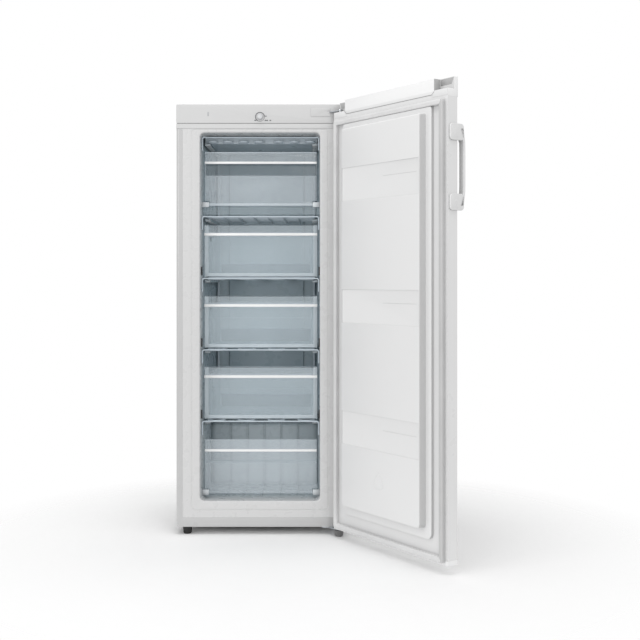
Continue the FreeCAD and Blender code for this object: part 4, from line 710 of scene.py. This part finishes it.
class FREEZER_OT_stage(bpy.types.Operator):
    """Sets up the floor, lights, background and camera"""
    bl_idname = "freezer.stage"
    bl_label = "Stage"

    def execute(self, context):
        scene, stage = context.scene, context.scene.freezer_stage
        scene.view_settings.view_transform = "Standard"
        self.floor(stage)
        self.lights(stage)
        self.background(scene, stage)
        self.camera(scene, stage)
        return {"FINISHED"}

    def floor(self, stage):
        half = stage.floor_size / 2
        mesh = bpy.data.meshes.new("floor")
        mesh.from_pydata([(-half, -half, 0), (half, -half, 0), (half, half, 0), (-half, half, 0)], [],
                         [(0, 1, 2, 3)])
        g = Graph("floor_finish")
        away = g.out(g.node("ShaderNodeVectorMath", {"operation": "LENGTH"}, {0: g.place}), "Value")
        tone = g.mix(g.noise(1.5, 2.0).between(0.3, 0.7), shade(253), shade(255))
        mesh.materials.append(g.done(g.surface(
            base_color=tone, roughness=g.noise(8.0).between(0.3, 0.7, 0.55, 0.65),
            alpha=away.between(0.55, 1.25, 1.0, 0.0), specular_ior_level=0.0)))
        made = bpy.data.objects.new("floor", mesh)
        made.location = (0.15, -0.1, 0.0)
        bpy.context.scene.collection.objects.link(made)

    def lights(self, stage):
        for name, place, target, size, power in (
                ("key_light", (-1.8, -4.3, 1.5), (0.1, 0.0, 0.75), 1.7, stage.key_power),
                ("left_light", (-3.0, -2.6, 1.6), (0.3, -0.2, 0.7), 1.8, stage.left_power),
                ("top_light", (0.1, -1.1, 3.4), (0.1, -0.5, 0.0), 2.6, stage.top_power),
                ("fill_light", (1.9, -4.2, 1.8), (0.25, -0.2, 0.7), 1.4, stage.fill_power)):
            data = bpy.data.lights.new(name, "AREA")
            data.shape, data.size, data.energy = "DISK", size, power
            made = bpy.data.objects.new(name, data)
            made.location = place
            made.rotation_euler = (Vector(target) - Vector(place)).to_track_quat("-Z", "Y").to_euler()
            bpy.context.scene.collection.objects.link(made)

    def background(self, scene, stage):
        """Plain light from all round. It is seen as white, also in gloss and through clear pieces."""
        scene.world = bpy.data.worlds.new("surroundings")
        g = Graph("surroundings", scene.world)
        rays = g.node("ShaderNodeLightPath")
        seen = g.out(rays, "Is Camera Ray") + g.out(rays, "Is Glossy Ray")
        seen = seen + g.out(rays, "Is Transmission Ray")
        light = g.node("ShaderNodeBackground", None, {
            "Color": (1.0, 1.0, 1.0, 1.0), "Strength": seen.between(0.0, 1.0, stage.sky, 1.0)})
        g.node("ShaderNodeOutputWorld", None, {"Surface": g.out(light)})

    def camera(self, scene, stage):
        data = bpy.data.cameras.new("camera")
        data.lens, data.sensor_width, data.shift_y = stage.lens, SENSOR_WIDTH, CAMERA_SHIFT
        made = bpy.data.objects.new("camera", data)
        made.location, made.rotation_euler = CAMERA_PLACE, (math.radians(90), 0, 0)
        scene.collection.objects.link(made)
        scene.camera = made


# ---- the cabinet ----

class FREEZER_OT_shell(bpy.types.Operator):
    """Finishes the cabinet's steel shell and its foam"""
    bl_idname = "freezer.shell"
    bl_label = "Cabinet shell"

    def execute(self, context):
        kept(["side_panel_left", "side_panel_right", "back_panel"], "cabinet_enamel")
        kept(["deck_panel"], "zinc_sheet")
        kept(["foam_insulation"], "foam")
        softened("bottom_rail", "cabinet", "cabinet_enamel")
        return {"FINISHED"}


class FREEZER_OT_top(bpy.types.Operator):
    """Moulds the lid, the control panel and the strip under it"""
    bl_idname = "freezer.top"
    bl_label = "Top mouldings"

    def execute(self, context):
        wide = (-HALF_WIDTH, HALF_WIDTH)
        strip = Shape().slab("y", wide, (1339.3, PANEL_BOTTOM - 0.4), (0.0, PANEL_DEPTH), 1.0, 1.2)
        piece("strip", strip, "cabinet", ["front_rail_top"], "trim_plastic")
        lid = Shape().cup("z", wide, (PANEL_DEPTH + 0.3, CABINET_DEPTH), (LID_BOTTOM, CABINET_TOP), 6.0, 4.5,
                          MOULDING_WALL)
        piece("lid", lid, "cabinet", ["top_lid"], "trim_plastic")
        panel = Shape().cup("y", wide, (PANEL_BOTTOM, CABINET_TOP), (PANEL_DEPTH, 0.0), 5.0, 3.2,
                            MOULDING_WALL)
        piece("control_panel", panel, "cabinet", ["control_fascia"], "trim_plastic")
        softened("hinge_cover_plate", "cabinet", "trim_plastic", 0.4)
        softened("blanking_plug", "cabinet", "plug_plastic", 0.3)
        softened("thermostat_housing", "cabinet", "relay_plastic")
        return {"FINISHED"}


class FREEZER_OT_knob(bpy.types.Operator):
    """Turns the thermostat knob and prints its scale"""
    bl_idname = "freezer.knob"
    bl_label = "Thermostat knob"

    def execute(self, context):
        centre = Vector((0, 0, KNOB_LEVEL))
        knob = Shape().lathe(
            [(2.9, 15.4), (2.9, -0.4), (9.8, -0.4), (10.4, -0.9), (10.5, -1.9), (10.1, -2.4), (8.5, -2.6),
             (8.2, -3.2), (8.0, -8.0), (7.6, -8.7), (6.8, -9.0)], centre, "y", 56)
        for index in range(KNOB_RIDGES):
            ridge = Shape().slab("y", (-0.32, 0.32), (7.8, 8.5), (-8.2, -2.7), 0.2, 0.15, 1, 2)
            turn = 2 * math.pi * index / KNOB_RIDGES
            knob.join(ridge, Matrix.Translation(centre) @ Matrix.Rotation(turn, 4, "Y"))
        pointer = Shape().slab("y", (-0.6, 0.6), (1.5, 7.0), (-9.3, -8.8), 0.5, 0.2, 2, 3)
        knob.join(pointer, Matrix.Translation(centre) @ Matrix.Rotation(math.radians(40), 4, "Y"))
        piece("knob", knob, "knob", ["thermostat_knob"], "knob_plastic")
        self.scale(centre)
        return {"FINISHED"}

    def scale(self, centre):
        """The printed ring round the knob, with its marks."""
        ink = Graph("scale_ink")
        tone = ink.mix(ink.noise(300.0), shade(74, 76, 80), shade(92, 94, 98))
        ink = ink.done(ink.surface(base_color=tone, roughness=ink.noise(90.0).between(0.3, 0.7, 0.4, 0.5)))
        printed = Shape()
        for start, sweep, inner, wide in ((12.0, 226.0, 13.6, 2.4), (238.0, 134.0, 14.4, 0.9)):
            rings = []
            for step in range(41):
                angle = math.radians(start + sweep * step / 40)
                rings.append([(centre.x + r * math.cos(angle), y, centre.z + r * math.sin(angle))
                              for r, y in ((inner, 0.05), (inner, -0.12), (inner + wide, -0.12),
                                           (inner + wide, 0.05))])
            printed.loft(rings)
        for left, right, low, high in (
                (15.0, 22.2, 1.2, 3.6), (-18.4, -12.6, -13.0, -9.8), (15.9, 20.2, -13.6, -9.8),
                (21.2, 26.1, -13.6, -9.8), (31.5, 36.6, -13.4, -10.0)):
            printed.slab("y", (left, right), (centre.z + low, centre.z + high), (-0.12, 0.05),
                         0.6, 0.04, 1, 3)
        piece("knob_scale", printed, "cabinet", [], "trim_plastic", finish=ink)


class FREEZER_OT_liner(bpy.types.Operator):
    """Forms the food cavity's liner"""
    bl_idname = "freezer.liner"
    bl_label = "Inner liner"

    def ring(self, y, inset, draft=True):
        """The cavity's outline at that depth. It narrows towards the back."""
        deep = max(y, 0.0) / CAVITY_DEPTH if draft else 0.0
        half, top = CAVITY_HALF - SIDE_DRAFT * deep - inset, CAVITY_TOP - TOP_DRAFT * deep - inset
        return placed("y", y, outline((-half, half), (CAVITY_FLOOR + inset, top),
                                      max(CAVITY_CORNER - inset, 1.0), 8))

    def execute(self, context):
        turns = [math.radians(a) for a in (0, 18, 36, 54, 72, 90)]
        rings = [self.ring(CAVITY_DEPTH - BACK_RADIUS * (1 - math.cos(a)), BACK_RADIUS * (1 - math.sin(a)))
                 for a in turns]
        rings += [self.ring(y, 0.0) for y in (300.0, 150.0, 40.0)]
        rings += [self.ring(LIP_RADIUS * (1 - math.sin(a)), -LIP_RADIUS * (1 - math.cos(a)), False)
                  for a in turns]
        for inset, depth in ((25.5, 0.0), (26.0, 0.9), (26.8, 1.2), (28.2, 1.2), (29.0, 0.9), (29.5, 0.0)):
            half = CAVITY_HALF + inset
            groove = outline((-half, half), (110.0 - inset, min(1308.5 + inset, 1338.2)), 12.0, 8)
            rings.append(placed("y", depth, groove))
        for inset, depth in ((0.5, 0.0), (0.0, 0.5), (0.0, 2.0)):
            rim = outline((inset - RIM_HALF, RIM_HALF - inset), (RIM_LOW + inset, RIM_HIGH - inset), 1.0, 8)
            rings.append(placed("y", depth, rim))
        rings.append(self.ring(2.0, -10.0, False))
        rings.append(self.ring(12.0, -2.0, False))
        rings += [self.ring(y, -2.0) for y in (40.0, 300.0, 412.0)]
        rings.append(self.ring(432.0, 0.0))
        shell = Shape().loft(rings)
        self.hump(shell)
        piece("liner", shell, "cabinet", ["inner_liner"], "liner_plastic",
              finish=material("liner_plastic_inside"))
        self.supports()
        return {"FINISHED"}

    def hump(self, shell):
        """The step over the machine bay, with upright ribs that run on over the floor, and the rear pad."""
        step = rounded_path([
            (431.0, 110.0, 0), (431.0, 327.0, 0), (280.0, 327.0, 15.0), (280.0, 111.5, 8.0),
            (262.0, 110.5, 0)], 8)
        shell.prism("x", step, (-195.0, 195.0), 0.5)
        for index in range(-RIBS_EACH_SIDE, RIBS_EACH_SIDE + 1):
            x = RIB_PITCH * index
            line = rounded_path([
                (90.0, 110.0, 0), (90.0, 114.0, 2.5), (277.0, 114.0, 9.0), (277.0, 330.0, 17.0),
                (300.0, 330.0, 0), (300.0, 322.0, 0), (286.0, 322.0, 0), (286.0, 110.0, 0)], 5)
            shell.prism("x", line, (x - 1.6, x + 1.6), 1.0, 3)
        shell.slab("y", (-138.0, 138.0), (320.0, 1306.0), (424.0, 431.0), 14.0, 3.0, 4)

    def supports(self):
        """Bars under the cold shelves, the rails before them, and dark plates in the wall slots, painted
        shade for the holes.
        """
        held, rails, slots = Shape(), Shape(), Shape()
        for level in (*SHELF_LEVELS.values(), CEILING_LEVEL):
            top = level - TUBE_RADIUS
            line = rounded_path([(75.0, top - 8.0, 2.5), (395.0, top - 8.0, 2.5), (395.0, top, 1.5),
                                 (75.0, top, 3.0)])
            bar = Shape().prism("x", line, (172.0, 190.0), 1.2, 3)
            held.join(bar).join(bar, Matrix.Scale(-1, 4, (1, 0, 0)))
            rail = level + (10.0 if level == CEILING_LEVEL else 1.0)
            end = rail - HOOK_DROP
            hook = bent_path([
                (-RAIL_HALF, 30.0, end), (-RAIL_HALF, 30.0, rail), (-181.0, 36.0, rail),
                (181.0, 36.0, rail), (RAIL_HALF, 30.0, rail), (RAIL_HALF, 30.0, end)], 7.0)
            rails.tube(hook, RAIL_RADIUS, 12)
            if level == CEILING_LEVEL:
                rails.slab("y", (-189.0, 189.0), (level - 3.6, level + 16.0), (82.4, 83.6), 0.4, 0.2, 1)
            if level < SHELF_LEVELS["one"]:
                # Dark plates in the wall slots: painted shade.
                slots.slab("x", (24.0, 36.0), (level + 12.0, level + 40.0), (193.0, 197.6), 2.0, 0.4, 2, 4)
        piece("supports", held, "cabinet", ["shelf_supports"], "liner_plastic",
              finish=material("liner_plastic_inside"))
        piece("shelf_rails", rails, "cabinet", [], "tube_enamel")
        piece("wall_slots", slots.across(), "cabinet", [], "relay_plastic")


# ---- the cold shelves ----

def swept(shape, legs, lift):
    """One bent tube that runs back and forth, its rear turns lifted by that angle."""
    path = [(legs[0], LEG_ENDS, 0.0)]
    slope = math.radians(lift)
    for index, (one, two) in enumerate(zip(legs, legs[1:])):
        middle, radius = (one + two) / 2, (two - one) / 2
        ahead = index % 2 == 0
        for step in range(11):
            turn = math.pi * step / 10
            away, side = radius * math.sin(turn), -radius * math.cos(turn)
            if ahead:
                path.append((middle + side, FRONT_TURNS - away, 0.0))
            else:
                path.append((middle + side, REAR_TURNS + away * math.cos(slope), away * math.sin(slope)))
    path.append((legs[-1], LEG_ENDS, 0.0))
    return shape.tube(path, TUBE_RADIUS, 14)


class FREEZER_OT_evaporators(bpy.types.Operator):
    """Bends the cold shelves' tubes and lays their wires"""
    bl_idname = "freezer.evaporators"
    bl_label = "Cold shelves"

    def execute(self, context):
        legs = [FIRST_LEG + SHELF_LEG_PITCH * index for index in range(SHELF_LEGS)]
        for lift, labels in ((30.0, ("one",)), (0.0, ("two", "three", "four"))):
            shape = swept(Shape(), legs, lift)
            for index in range(SHELF_WIRES):
                y = FIRST_WIRE + WIRE_PITCH * index
                shape.tube([(-WIRE_HALF, y, 4.7), (WIRE_HALF, y, 4.7)], 1.0, 8)
            mesh = mesh_of("cold_shelf", shape)
            for label in labels:
                made = show(f"shelf_{label}", mesh, "cabinet", [f"evaporator_shelf_{label}"], "tube_enamel")
                made.location.z = SHELF_LEVELS[label] * MM
        legs = [FIRST_LEG + CEILING_LEG_PITCH * index + (MIDDLE_GAP if index >= LEFT_LEGS else 0.0)
                for index in range(CEILING_LEGS)]
        shape = swept(Shape(), legs, 0.0)
        for y in (91.5, 369.5):
            shape.slab("y", (-180.4, 180.4), (3.7, 6.0), (y - 8.5, y + 8.5), 0.6, 0.5, 2, 3)
        plate = [(84.0, -5.2), (396.0, -5.2), (396.0, -4.2), (85.2, -4.2), (85.2, 16.0), (84.0, 16.0)]
        shape.prism("x", plate, (-171.0, 171.0), 0.2, 1)
        made = show("shelf_ceiling", mesh_of("cold_ceiling", shape), "cabinet", ["evaporator_ceiling"],
                    "tube_enamel")
        made.location.z = CEILING_LEVEL * MM
        kept(["evaporator_risers"], "tube_enamel")
        return {"FINISHED"}


class FREEZER_OT_front_trim(bpy.types.Operator):
    """Draws the trim across the front of the upper shelf"""
    bl_idname = "freezer.front_trim"
    bl_label = "Shelf trim"

    def execute(self, context):
        line = rounded_path([
            (60, 1058, 1), (60, 1084, 1), (52, 1084, 1), (50, 1082, 0.8), (50, 1077, 0.6), (51.6, 1076, 0.4),
            (51.6, 1067, 0.4), (50, 1066, 0.6), (50, 1060, 0.8), (52, 1058, 1)], 3)
        piece("shelf_trim", Shape().prism("x", line, (-196, 196), 0.8), "cabinet", ["shelf_front_trim"],
              "drawer_plastic")
        softened("flap_pivot_blocks", "cabinet", "liner_plastic", 0.8, material("block_plastic"))
        return {"FINISHED"}


def faced(made, *tests, place=HERE):
    """Faces whose middle and direction, moved to the place, pass a test take its finish."""
    for slot, _ in tests:
        made.data.materials.append(material(slot))
    for face in made.data.polygons:
        middle, normal = place @ (face.center / MM), place.to_3x3() @ face.normal
        for index, (_, test) in enumerate(tests):
            if test(middle, normal):
                face.material_index = index + 1
                break
    return made


def see_through(made, *tests):
    """A clear piece, through which light falls freely."""
    made.visible_shadow = made.visible_diffuse = False
    return faced(made, *tests)


class FREEZER_OT_clear_parts(bpy.types.Operator):
    """Moulds the flaps and the drawers in clear plastic"""
    bl_idname = "freezer.clear_parts"
    bl_label = "Flaps and drawers"

    def execute(self, context):
        for name, level in FLAP_LEVELS.items():
            upper = name == "flap_top"
            see_through(
                softened(name, name, "drawer_plastic", 0.7),
                # Painted highlight on the flap's bar
                ("drawer_plastic_highlight", lambda p, _: (
                    p.y < FLAP_BAND_FRONT and FLAP_BAND_LOW < p.z - level < FLAP_BAND_HIGH)),
                # Painted shade inside the top flap's pocket
                ("drawer_plastic_pocket_shade", lambda p, _: (
                    upper and p.y > FLAP_POCKET_FRONT and abs(p.x) < FLAP_POCKET_HALF
                    and FLAP_POCKET_LOW < p.z - level < FLAP_POCKET_HIGH)),
                ("drawer_plastic_thick", lambda p, _: (
                    upper and p.y < FLAP_THICK_FRONT or p.z - level > FLAP_RIM)),
                ("drawer_plastic_flap", lambda p, _: True))
        for index in (1, 2, 3):
            name, (low, high) = f"drawer_{index}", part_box(f"drawer_{index}_tub")
            level, back = low.z / MM, high.y / MM
            see_through(
                softened(f"{name}_tub", name, "drawer_plastic", 0.6),
                ("drawer_plastic_thick", lambda p, _: p.z > level + TUB_RIM),
                ("drawer_plastic_back", lambda p, _: p.y > back - TUB_BACK))
            # The step inside the tub, in a darker copy of the clear plastic: painted shade.
            step = Shape().slab("y", (low.x / MM + STEP_SIDE, high.x / MM - STEP_SIDE),
                                (level + STEP_LOW, level + STEP_HIGH), (back - 9, back - 4), 6.0, 1.5, 3)
            see_through(piece(f"{name}_step", step, name, [], "drawer_plastic",
                              finish=material("drawer_plastic_step_shade")))
            see_through(
                softened(f"{name}_front", name, "drawer_plastic", 0.8),
                # Painted highlight on the drawer's grip
                ("drawer_plastic_highlight", lambda p, _: p.y < GRIP_FRONT),
                ("drawer_plastic_thick", lambda p, _: p.y < GRIP_BACK),
                ("drawer_plastic_flap", lambda p, _: p.z > level + DRAWER_HEAD))
            front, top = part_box(f"{name}_front")
            # Dark lines along the front's top and bottom edges: painted shade for the dark edge of clear
            # plastic.
            edges = Shape()
            for height in (front.z / MM + 1.2, top.z / MM - 1.2):
                edges.tube([(front.x / MM + 4, EDGE_DEPTH, height), (top.x / MM - 4, EDGE_DEPTH, height)],
                           0.9, 8)
            if index in CATCH_HEIGHTS:
                head = level + CATCH_HEAD
                edges.slab("y", (-168.8, -166.2), (head - CATCH_HEIGHTS[index], head), (54.6, 57.4),
                           0.6, 0.4, 2)
            see_through(piece(f"{name}_edges", edges, name, [], "drawer_plastic",
                              finish=material("drawer_edge")))
        return {"FINISHED"}


# ---- the door ----

class FREEZER_OT_door(bpy.types.Operator):
    """Forms the door's skin, caps and liner"""
    bl_idname = "freezer.door"
    bl_label = "Door"

    def execute(self, context):
        kept(["door_skin"], "door_enamel")
        kept(["door_foam"], "foam")
        # The top cap takes the brighter white: painted light.
        cap = softened("door_top_cap", "door", "trim_plastic", 1.2, material("cap_plastic_painted_light"))
        # Painted shade: the recess's side walls take the dark tone, its back face the lighter one.
        faced(cap,
              ("cap_recess", lambda p, n: (
                  abs(n.x) > 0.7 and RECESS_INNER < abs(p.x) < RECESS_OUTER
                  and RECESS_LOW < p.z < RECESS_HIGH)),
              ("cap_recess_back", lambda p, n: (
                  n.y > 0.7 and abs(p.x) > RECESS_INNER and p.z > RECESS_LOW
                  and RECESS_FRONT < p.y < RECESS_BACK)),
              place=DOOR.inverted())
        # A thin dark plate over the upper half of the recess's back face: painted shadow.
        corner = [(-274.8, 1418.4), (-219.2, 1418.4), (-219.2, 1400.0), (-266.0, 1400.0)]
        web = Shape().prism("y", corner, (-37.2, -36.2), 0.3).across()
        piece("cap_shadow_web", web, "door", [], "trim_plastic", DOOR, material("cap_recess"))
        seam = Shape().tube([(219.0, -12.7, 1385.0), (207.0, -12.7, 1374.4), (-207.0, -12.7, 1374.4),
                             (-219.0, -12.7, 1385.0)], 0.5, 8)
        piece("cap_seam", seam, "door", [], "trim_plastic", DOOR, material("seam"))
        # The bottom cap also takes the brighter white: painted light.
        softened("door_bottom_cap", "door", "trim_plastic", 1.0, material("cap_plastic_painted_light"))
        self.liner()
        self.gasket()
        return {"FINISHED"}

    def liner(self):
        """The inner face: its border, the ledge, the plateau with its belts, and the bare drop mark."""
        def ring(y, half, low, high, radius, foot=None):
            foot = foot or radius
            corners = [(half, high, radius), (-half, high, radius), (-half, low, foot), (half, low, foot)]
            return placed("y", y, rounded_path(corners, 8))

        rings = [ring(-15.0, BORDER_HALF, BORDER_LOW, BORDER_HIGH, 5.0),
                 ring(-13.4, BORDER_HALF, BORDER_LOW, BORDER_HIGH, 5.0),
                 ring(-13.0, 274.8, 42.7, 1373.3, 5.0), ring(-13.0, 218.5, 87.0, 1340.95, 10.0, 24.0),
                 ring(-12.2, 216.6, 88.9, 1340.9, 9.0, 22.0),
                 ring(-10.5, LEDGE_HALF, LEDGE_LOW, LEDGE_HIGH, 8.0, 21.0)]
        for angle in (0, 22.5, 45, 67.5, 90):
            turn = math.radians(angle)
            inset = 3.0 * (1 - math.cos(turn))
            rings.append(ring(-6.0 + 3.0 * math.sin(turn), LEDGE_HALF - inset, LEDGE_LOW + inset,
                              LEDGE_HIGH - inset, 8.0 - inset, 21.0 - inset))
        rings += [ring(-3.0, 195.8, 115.7, 1326.3, 9.0, 19.0), ring(-2.2, 193.6, 117.9, 1324.1, 8.0, 18.0),
                  ring(0.0, 192.4, 119.1, 1322.9, 7.0, 17.0)]
        for angle in (0, 18, 36, 54, 72, 90):
            turn = math.radians(angle)
            inset = 2.5 + 3.5 * (1 - math.cos(turn))
            rings.append(ring(16.5 + 3.5 * math.sin(turn), PLATEAU_HALF - inset, PLATEAU_LOW + inset,
                              PLATEAU_HIGH - inset, max(7.0 - inset, 3.0), 17.0 - inset))
        mesh = mesh_of("door_liner_shown", Shape().loft(rings))
        for level in BELT_LEVELS:
            belt = Shape().slab("y", (-BELT_HALF, BELT_HALF), (level, level + BELT_HEIGHT), (18.6, 26.0),
                                1.0, 0.5, 3)
            line = Shape().slab("y", (-176.0, -20.0), (level + 64.8, level + 66.4), (17.9, 19.5), 0.5, 0.3, 1)
            mesh = carved(carved(mesh, mesh_of("belt", belt)), mesh_of("line", line))
        corner = [(-275.2, 1366.0), (-206.0, 1366.0), (-219.0, 1385.4), (-275.2, 1385.4)]
        tabs = Shape().prism("y", corner, (-14.6, -12.4), 0.5).across()
        turns = [2 * math.pi * step / 72 for step in range(72)]
        tabs.tube([(32.0 * math.sin(a) * math.sin(a / 2) ** 1.5, 19.7, DROP_LEVEL + 26.0 * math.cos(a))
                   for a in turns], 1.0, 8, True)
        mesh = joined(mesh, mesh_of("tabs", tabs))
        mesh.transform(metres(DOOR))
        made = show("door_liner_shown", smoothed(mesh), "door", ["door_liner"], "liner_plastic")
        # Painted shade on the side walls of the ledge and the plateau.
        faced(made, ("liner_plastic_side_shade", lambda p, n: abs(n.x) > 0.6 and 182 < abs(p.x) < 219),
              place=DOOR.inverted())

    def gasket(self):
        """The seal, by its section: points (in from its outer edge, y)."""
        profile = [(0.6, -13.0), (0.0, -12.4), (0.0, -9.6), (1.5, -8.9), (1.5, -7.3), (0.0, -6.6),
                   (0.0, -2.8), (0.7, -1.2), (2.4, -0.4), (6.8, -0.35), (7.5, -0.9), (8.2, -0.35),
                   (12.6, -0.4), (14.3, -1.2), (15.0, -2.8), (15.0, -6.6), (13.5, -7.3), (13.5, -8.9),
                   (15.0, -9.6), (15.0, -12.4), (14.4, -13.0)]
        rings = [placed("y", y, outline((inset - SEAL_HALF, SEAL_HALF - inset),
                                        (SEAL_LOW + inset, SEAL_HIGH - inset), max(8.0 - inset, 0.4), 6))
                 for inset, y in profile]
        seal = piece("gasket", Shape().loft(rings, closed=True), "door", ["door_gasket"], "seal_rubber", DOOR)
        # Painted shade: only the seal's free side keeps the darker tone.
        faced(seal, ("seal_rubber_light", lambda p, _: p.x > -249.0), place=DOOR.inverted())


class FREEZER_OT_handle(bpy.types.Operator):
    """Moulds the door handle"""
    bl_idname = "freezer.handle"
    bl_label = "Handle"

    def execute(self, context):
        handle = Shape()
        for low in (HANDLE_LOW, HANDLE_LOW + HANDLE_HEIGHT - PAD_HEIGHT):
            handle.slab("x", (-68.0, -16.0), (low, low + PAD_HEIGHT), (HANDLE_FACE, -HALF_WIDTH),
                        10.0, 2.2, 4)
        half = [(1046, -67.6, -54.0), (1052, -68.6, -52.5), (1066, -70.4, -56.5), (1080, -72.6, -62.5),
                (1092, -74.0, -66.4), (1110, -74.4, -67.0), (1135, -74.5, -67.0)]
        both_ends = 2 * HANDLE_LOW + HANDLE_HEIGHT
        sections = half + [(both_ends - z, front, back) for z, front, back in half[::-1]]
        rings = []
        for index, (z, front, back) in enumerate(sections):
            inset = 1.6 if index in (0, len(sections) - 1) else 0.0
            section = outline((HANDLE_FACE + inset, -262.0 - inset), (front + inset, back - inset), 3.2, 5)
            rings.append(placed("z", z, section))
        handle.loft(rings)
        piece("handle", handle, "door", ["door_handle"], "handle_plastic", DOOR)
        softened("door_handle_covers", "door", "handle_plastic", 0.5)
        kept(["door_handle_screws"], "bright_steel")
        return {"FINISHED"}


class FREEZER_OT_hinges(bpy.types.Operator):
    """Finishes the hinges and their screws"""
    bl_idname = "freezer.hinges"
    bl_label = "Hinges"

    def execute(self, context):
        for name in ("top_hinge_bracket", "bottom_hinge_bracket"):
            softened(name, "cabinet", "zinc_sheet", 0.4)
        kept(["hinge_pins", "hinge_screws"], "bright_steel")
        kept(["hinge_bushes"], "bush_plastic")
        return {"FINISHED"}


class FREEZER_OT_feet(bpy.types.Operator):
    """Turns the levelling feet and the rear feet"""
    bl_idname = "freezer.feet"
    bl_label = "Feet"

    def execute(self, context):
        for name, node, x, y, height, stud, slot in (
                ("foot_left", "foot_front_left", -241.5, 22.0, 25.0, 44.6, "black_foot"),
                ("foot_right", "foot_front_right", 260.0, -18.0, 20.0, 25.9, "grey_foot")):
            foot = Shape().lathe(
                [(10.6, 0.0), (11.7, 0.3), (12.0, 1.2), (12.4, 2.6), (12.9, 3.0), (14.2, height * 0.62),
                 (14.9, height - 3.0), (15.0, height - 1.2), (14.4, height - 0.2), (13.6, height),
                 (4.0, height), (4.0, stud - 0.6), (3.4, stud)], (x, y, 0.0), "z", 44)
            for index in range(FOOT_GRIPS):
                turn = 2 * math.pi * index / FOOT_GRIPS
                grip = Shape().tube([(13.1, 0, 4.0), (14.5, 0, height - 3.5)], 0.9, 6)
                foot.join(grip, Matrix.Translation((x, y, 0)) @ Matrix.Rotation(turn, 4, "Z"))
            piece(name, foot, name, [node], slot)
        softened("rear_feet", "cabinet", "black_foot", 1.0)
        return {"FINISHED"}


# ---- the machine bay ----

class FREEZER_OT_machine(bpy.types.Operator):
    """Finishes the compressor, its tray and its pipes"""
    bl_idname = "freezer.machine"
    bl_label = "Machine bay"

    def execute(self, context):
        for name in ("base_tray", "bay_shroud"):
            softened(name, "cabinet", "zinc_sheet", 0.3)
        kept(["compressor"], "compressor_paint")
        kept(["compressor_bolts"], "bright_steel")
        kept(["compressor_grommets"], "grommet_rubber")
        softened("compressor_relay_box", "cabinet", "relay_plastic", 1.2)
        kept(["cord_gland"], "relay_plastic")
        kept(["condenser_pipe", "discharge_pipe"], "compressor_paint")
        kept(["filter_dryer", "capillary_pipe", "suction_pipe"], "copper")
        return {"FINISHED"}


# ---- helpers for the door's liner ----

def metres(matrix):
    """The same move, given in millimetres, for points in metres."""
    moved = matrix.copy()
    moved.translation *= MM
    return moved


def carved(mesh, tool):
    """The mesh with the tool's volume cut out of it."""
    scene = bpy.context.scene
    one, two = bpy.data.objects.new("one", mesh), bpy.data.objects.new("two", tool)
    for made in (one, two):
        scene.collection.objects.link(made)
    change = one.modifiers.new("change", "BOOLEAN")
    change.operation, change.object, change.solver = "DIFFERENCE", two, "EXACT"
    result = bpy.data.meshes.new_from_object(one.evaluated_get(bpy.context.evaluated_depsgraph_get()))
    for made in (one, two):
        bpy.data.objects.remove(made)
    if not result.polygons:
        raise RuntimeError(f"{mesh.name}: nothing was left after the cut")
    result.name = mesh.name
    return result


def joined(*meshes):
    """Several meshes as one."""
    gathered = bmesh.new()
    for mesh in meshes:
        gathered.from_mesh(mesh)
    result = bpy.data.meshes.new(meshes[0].name)
    gathered.to_mesh(result)
    gathered.free()
    return result


# ---- the add-on ----

class FREEZER_PT_panel(bpy.types.Panel):
    """The freezer's tools in the sidebar."""
    bl_idname = "FREEZER_PT_panel"
    bl_label = "Upright freezer"
    bl_space_type = "VIEW_3D"
    bl_region_type = "UI"
    bl_category = "Freezer"

    def draw(self, context):
        for group in (context.scene.freezer_looks, context.scene.freezer_stage):
            for name in group.bl_rna.properties.keys():
                if name not in ("rna_type", "name"):
                    self.layout.prop(group, name)
        for operator in OPERATORS:
            self.layout.operator(operator.bl_idname)


OPERATORS = [
    FREEZER_OT_stage, FREEZER_OT_shell, FREEZER_OT_top, FREEZER_OT_knob, FREEZER_OT_liner,
    FREEZER_OT_evaporators, FREEZER_OT_front_trim, FREEZER_OT_clear_parts, FREEZER_OT_door, FREEZER_OT_handle,
    FREEZER_OT_hinges, FREEZER_OT_feet, FREEZER_OT_machine,
]
CLASSES = [FreezerLooks, FreezerStage, *OPERATORS, FREEZER_PT_panel]


def register():
    for kind in CLASSES:
        bpy.utils.register_class(kind)
    bpy.types.Scene.freezer_looks = bpy.props.PointerProperty(type=FreezerLooks)
    bpy.types.Scene.freezer_stage = bpy.props.PointerProperty(type=FreezerStage)


def unregister():
    del bpy.types.Scene.freezer_stage
    del bpy.types.Scene.freezer_looks
    for kind in reversed(CLASSES):
        bpy.utils.unregister_class(kind)


def main():
    register()
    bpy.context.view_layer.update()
    for operator in OPERATORS:
        group, name = operator.bl_idname.split(".")
        getattr(getattr(bpy.ops, group), name)()


if __name__ == "__main__":
    main()
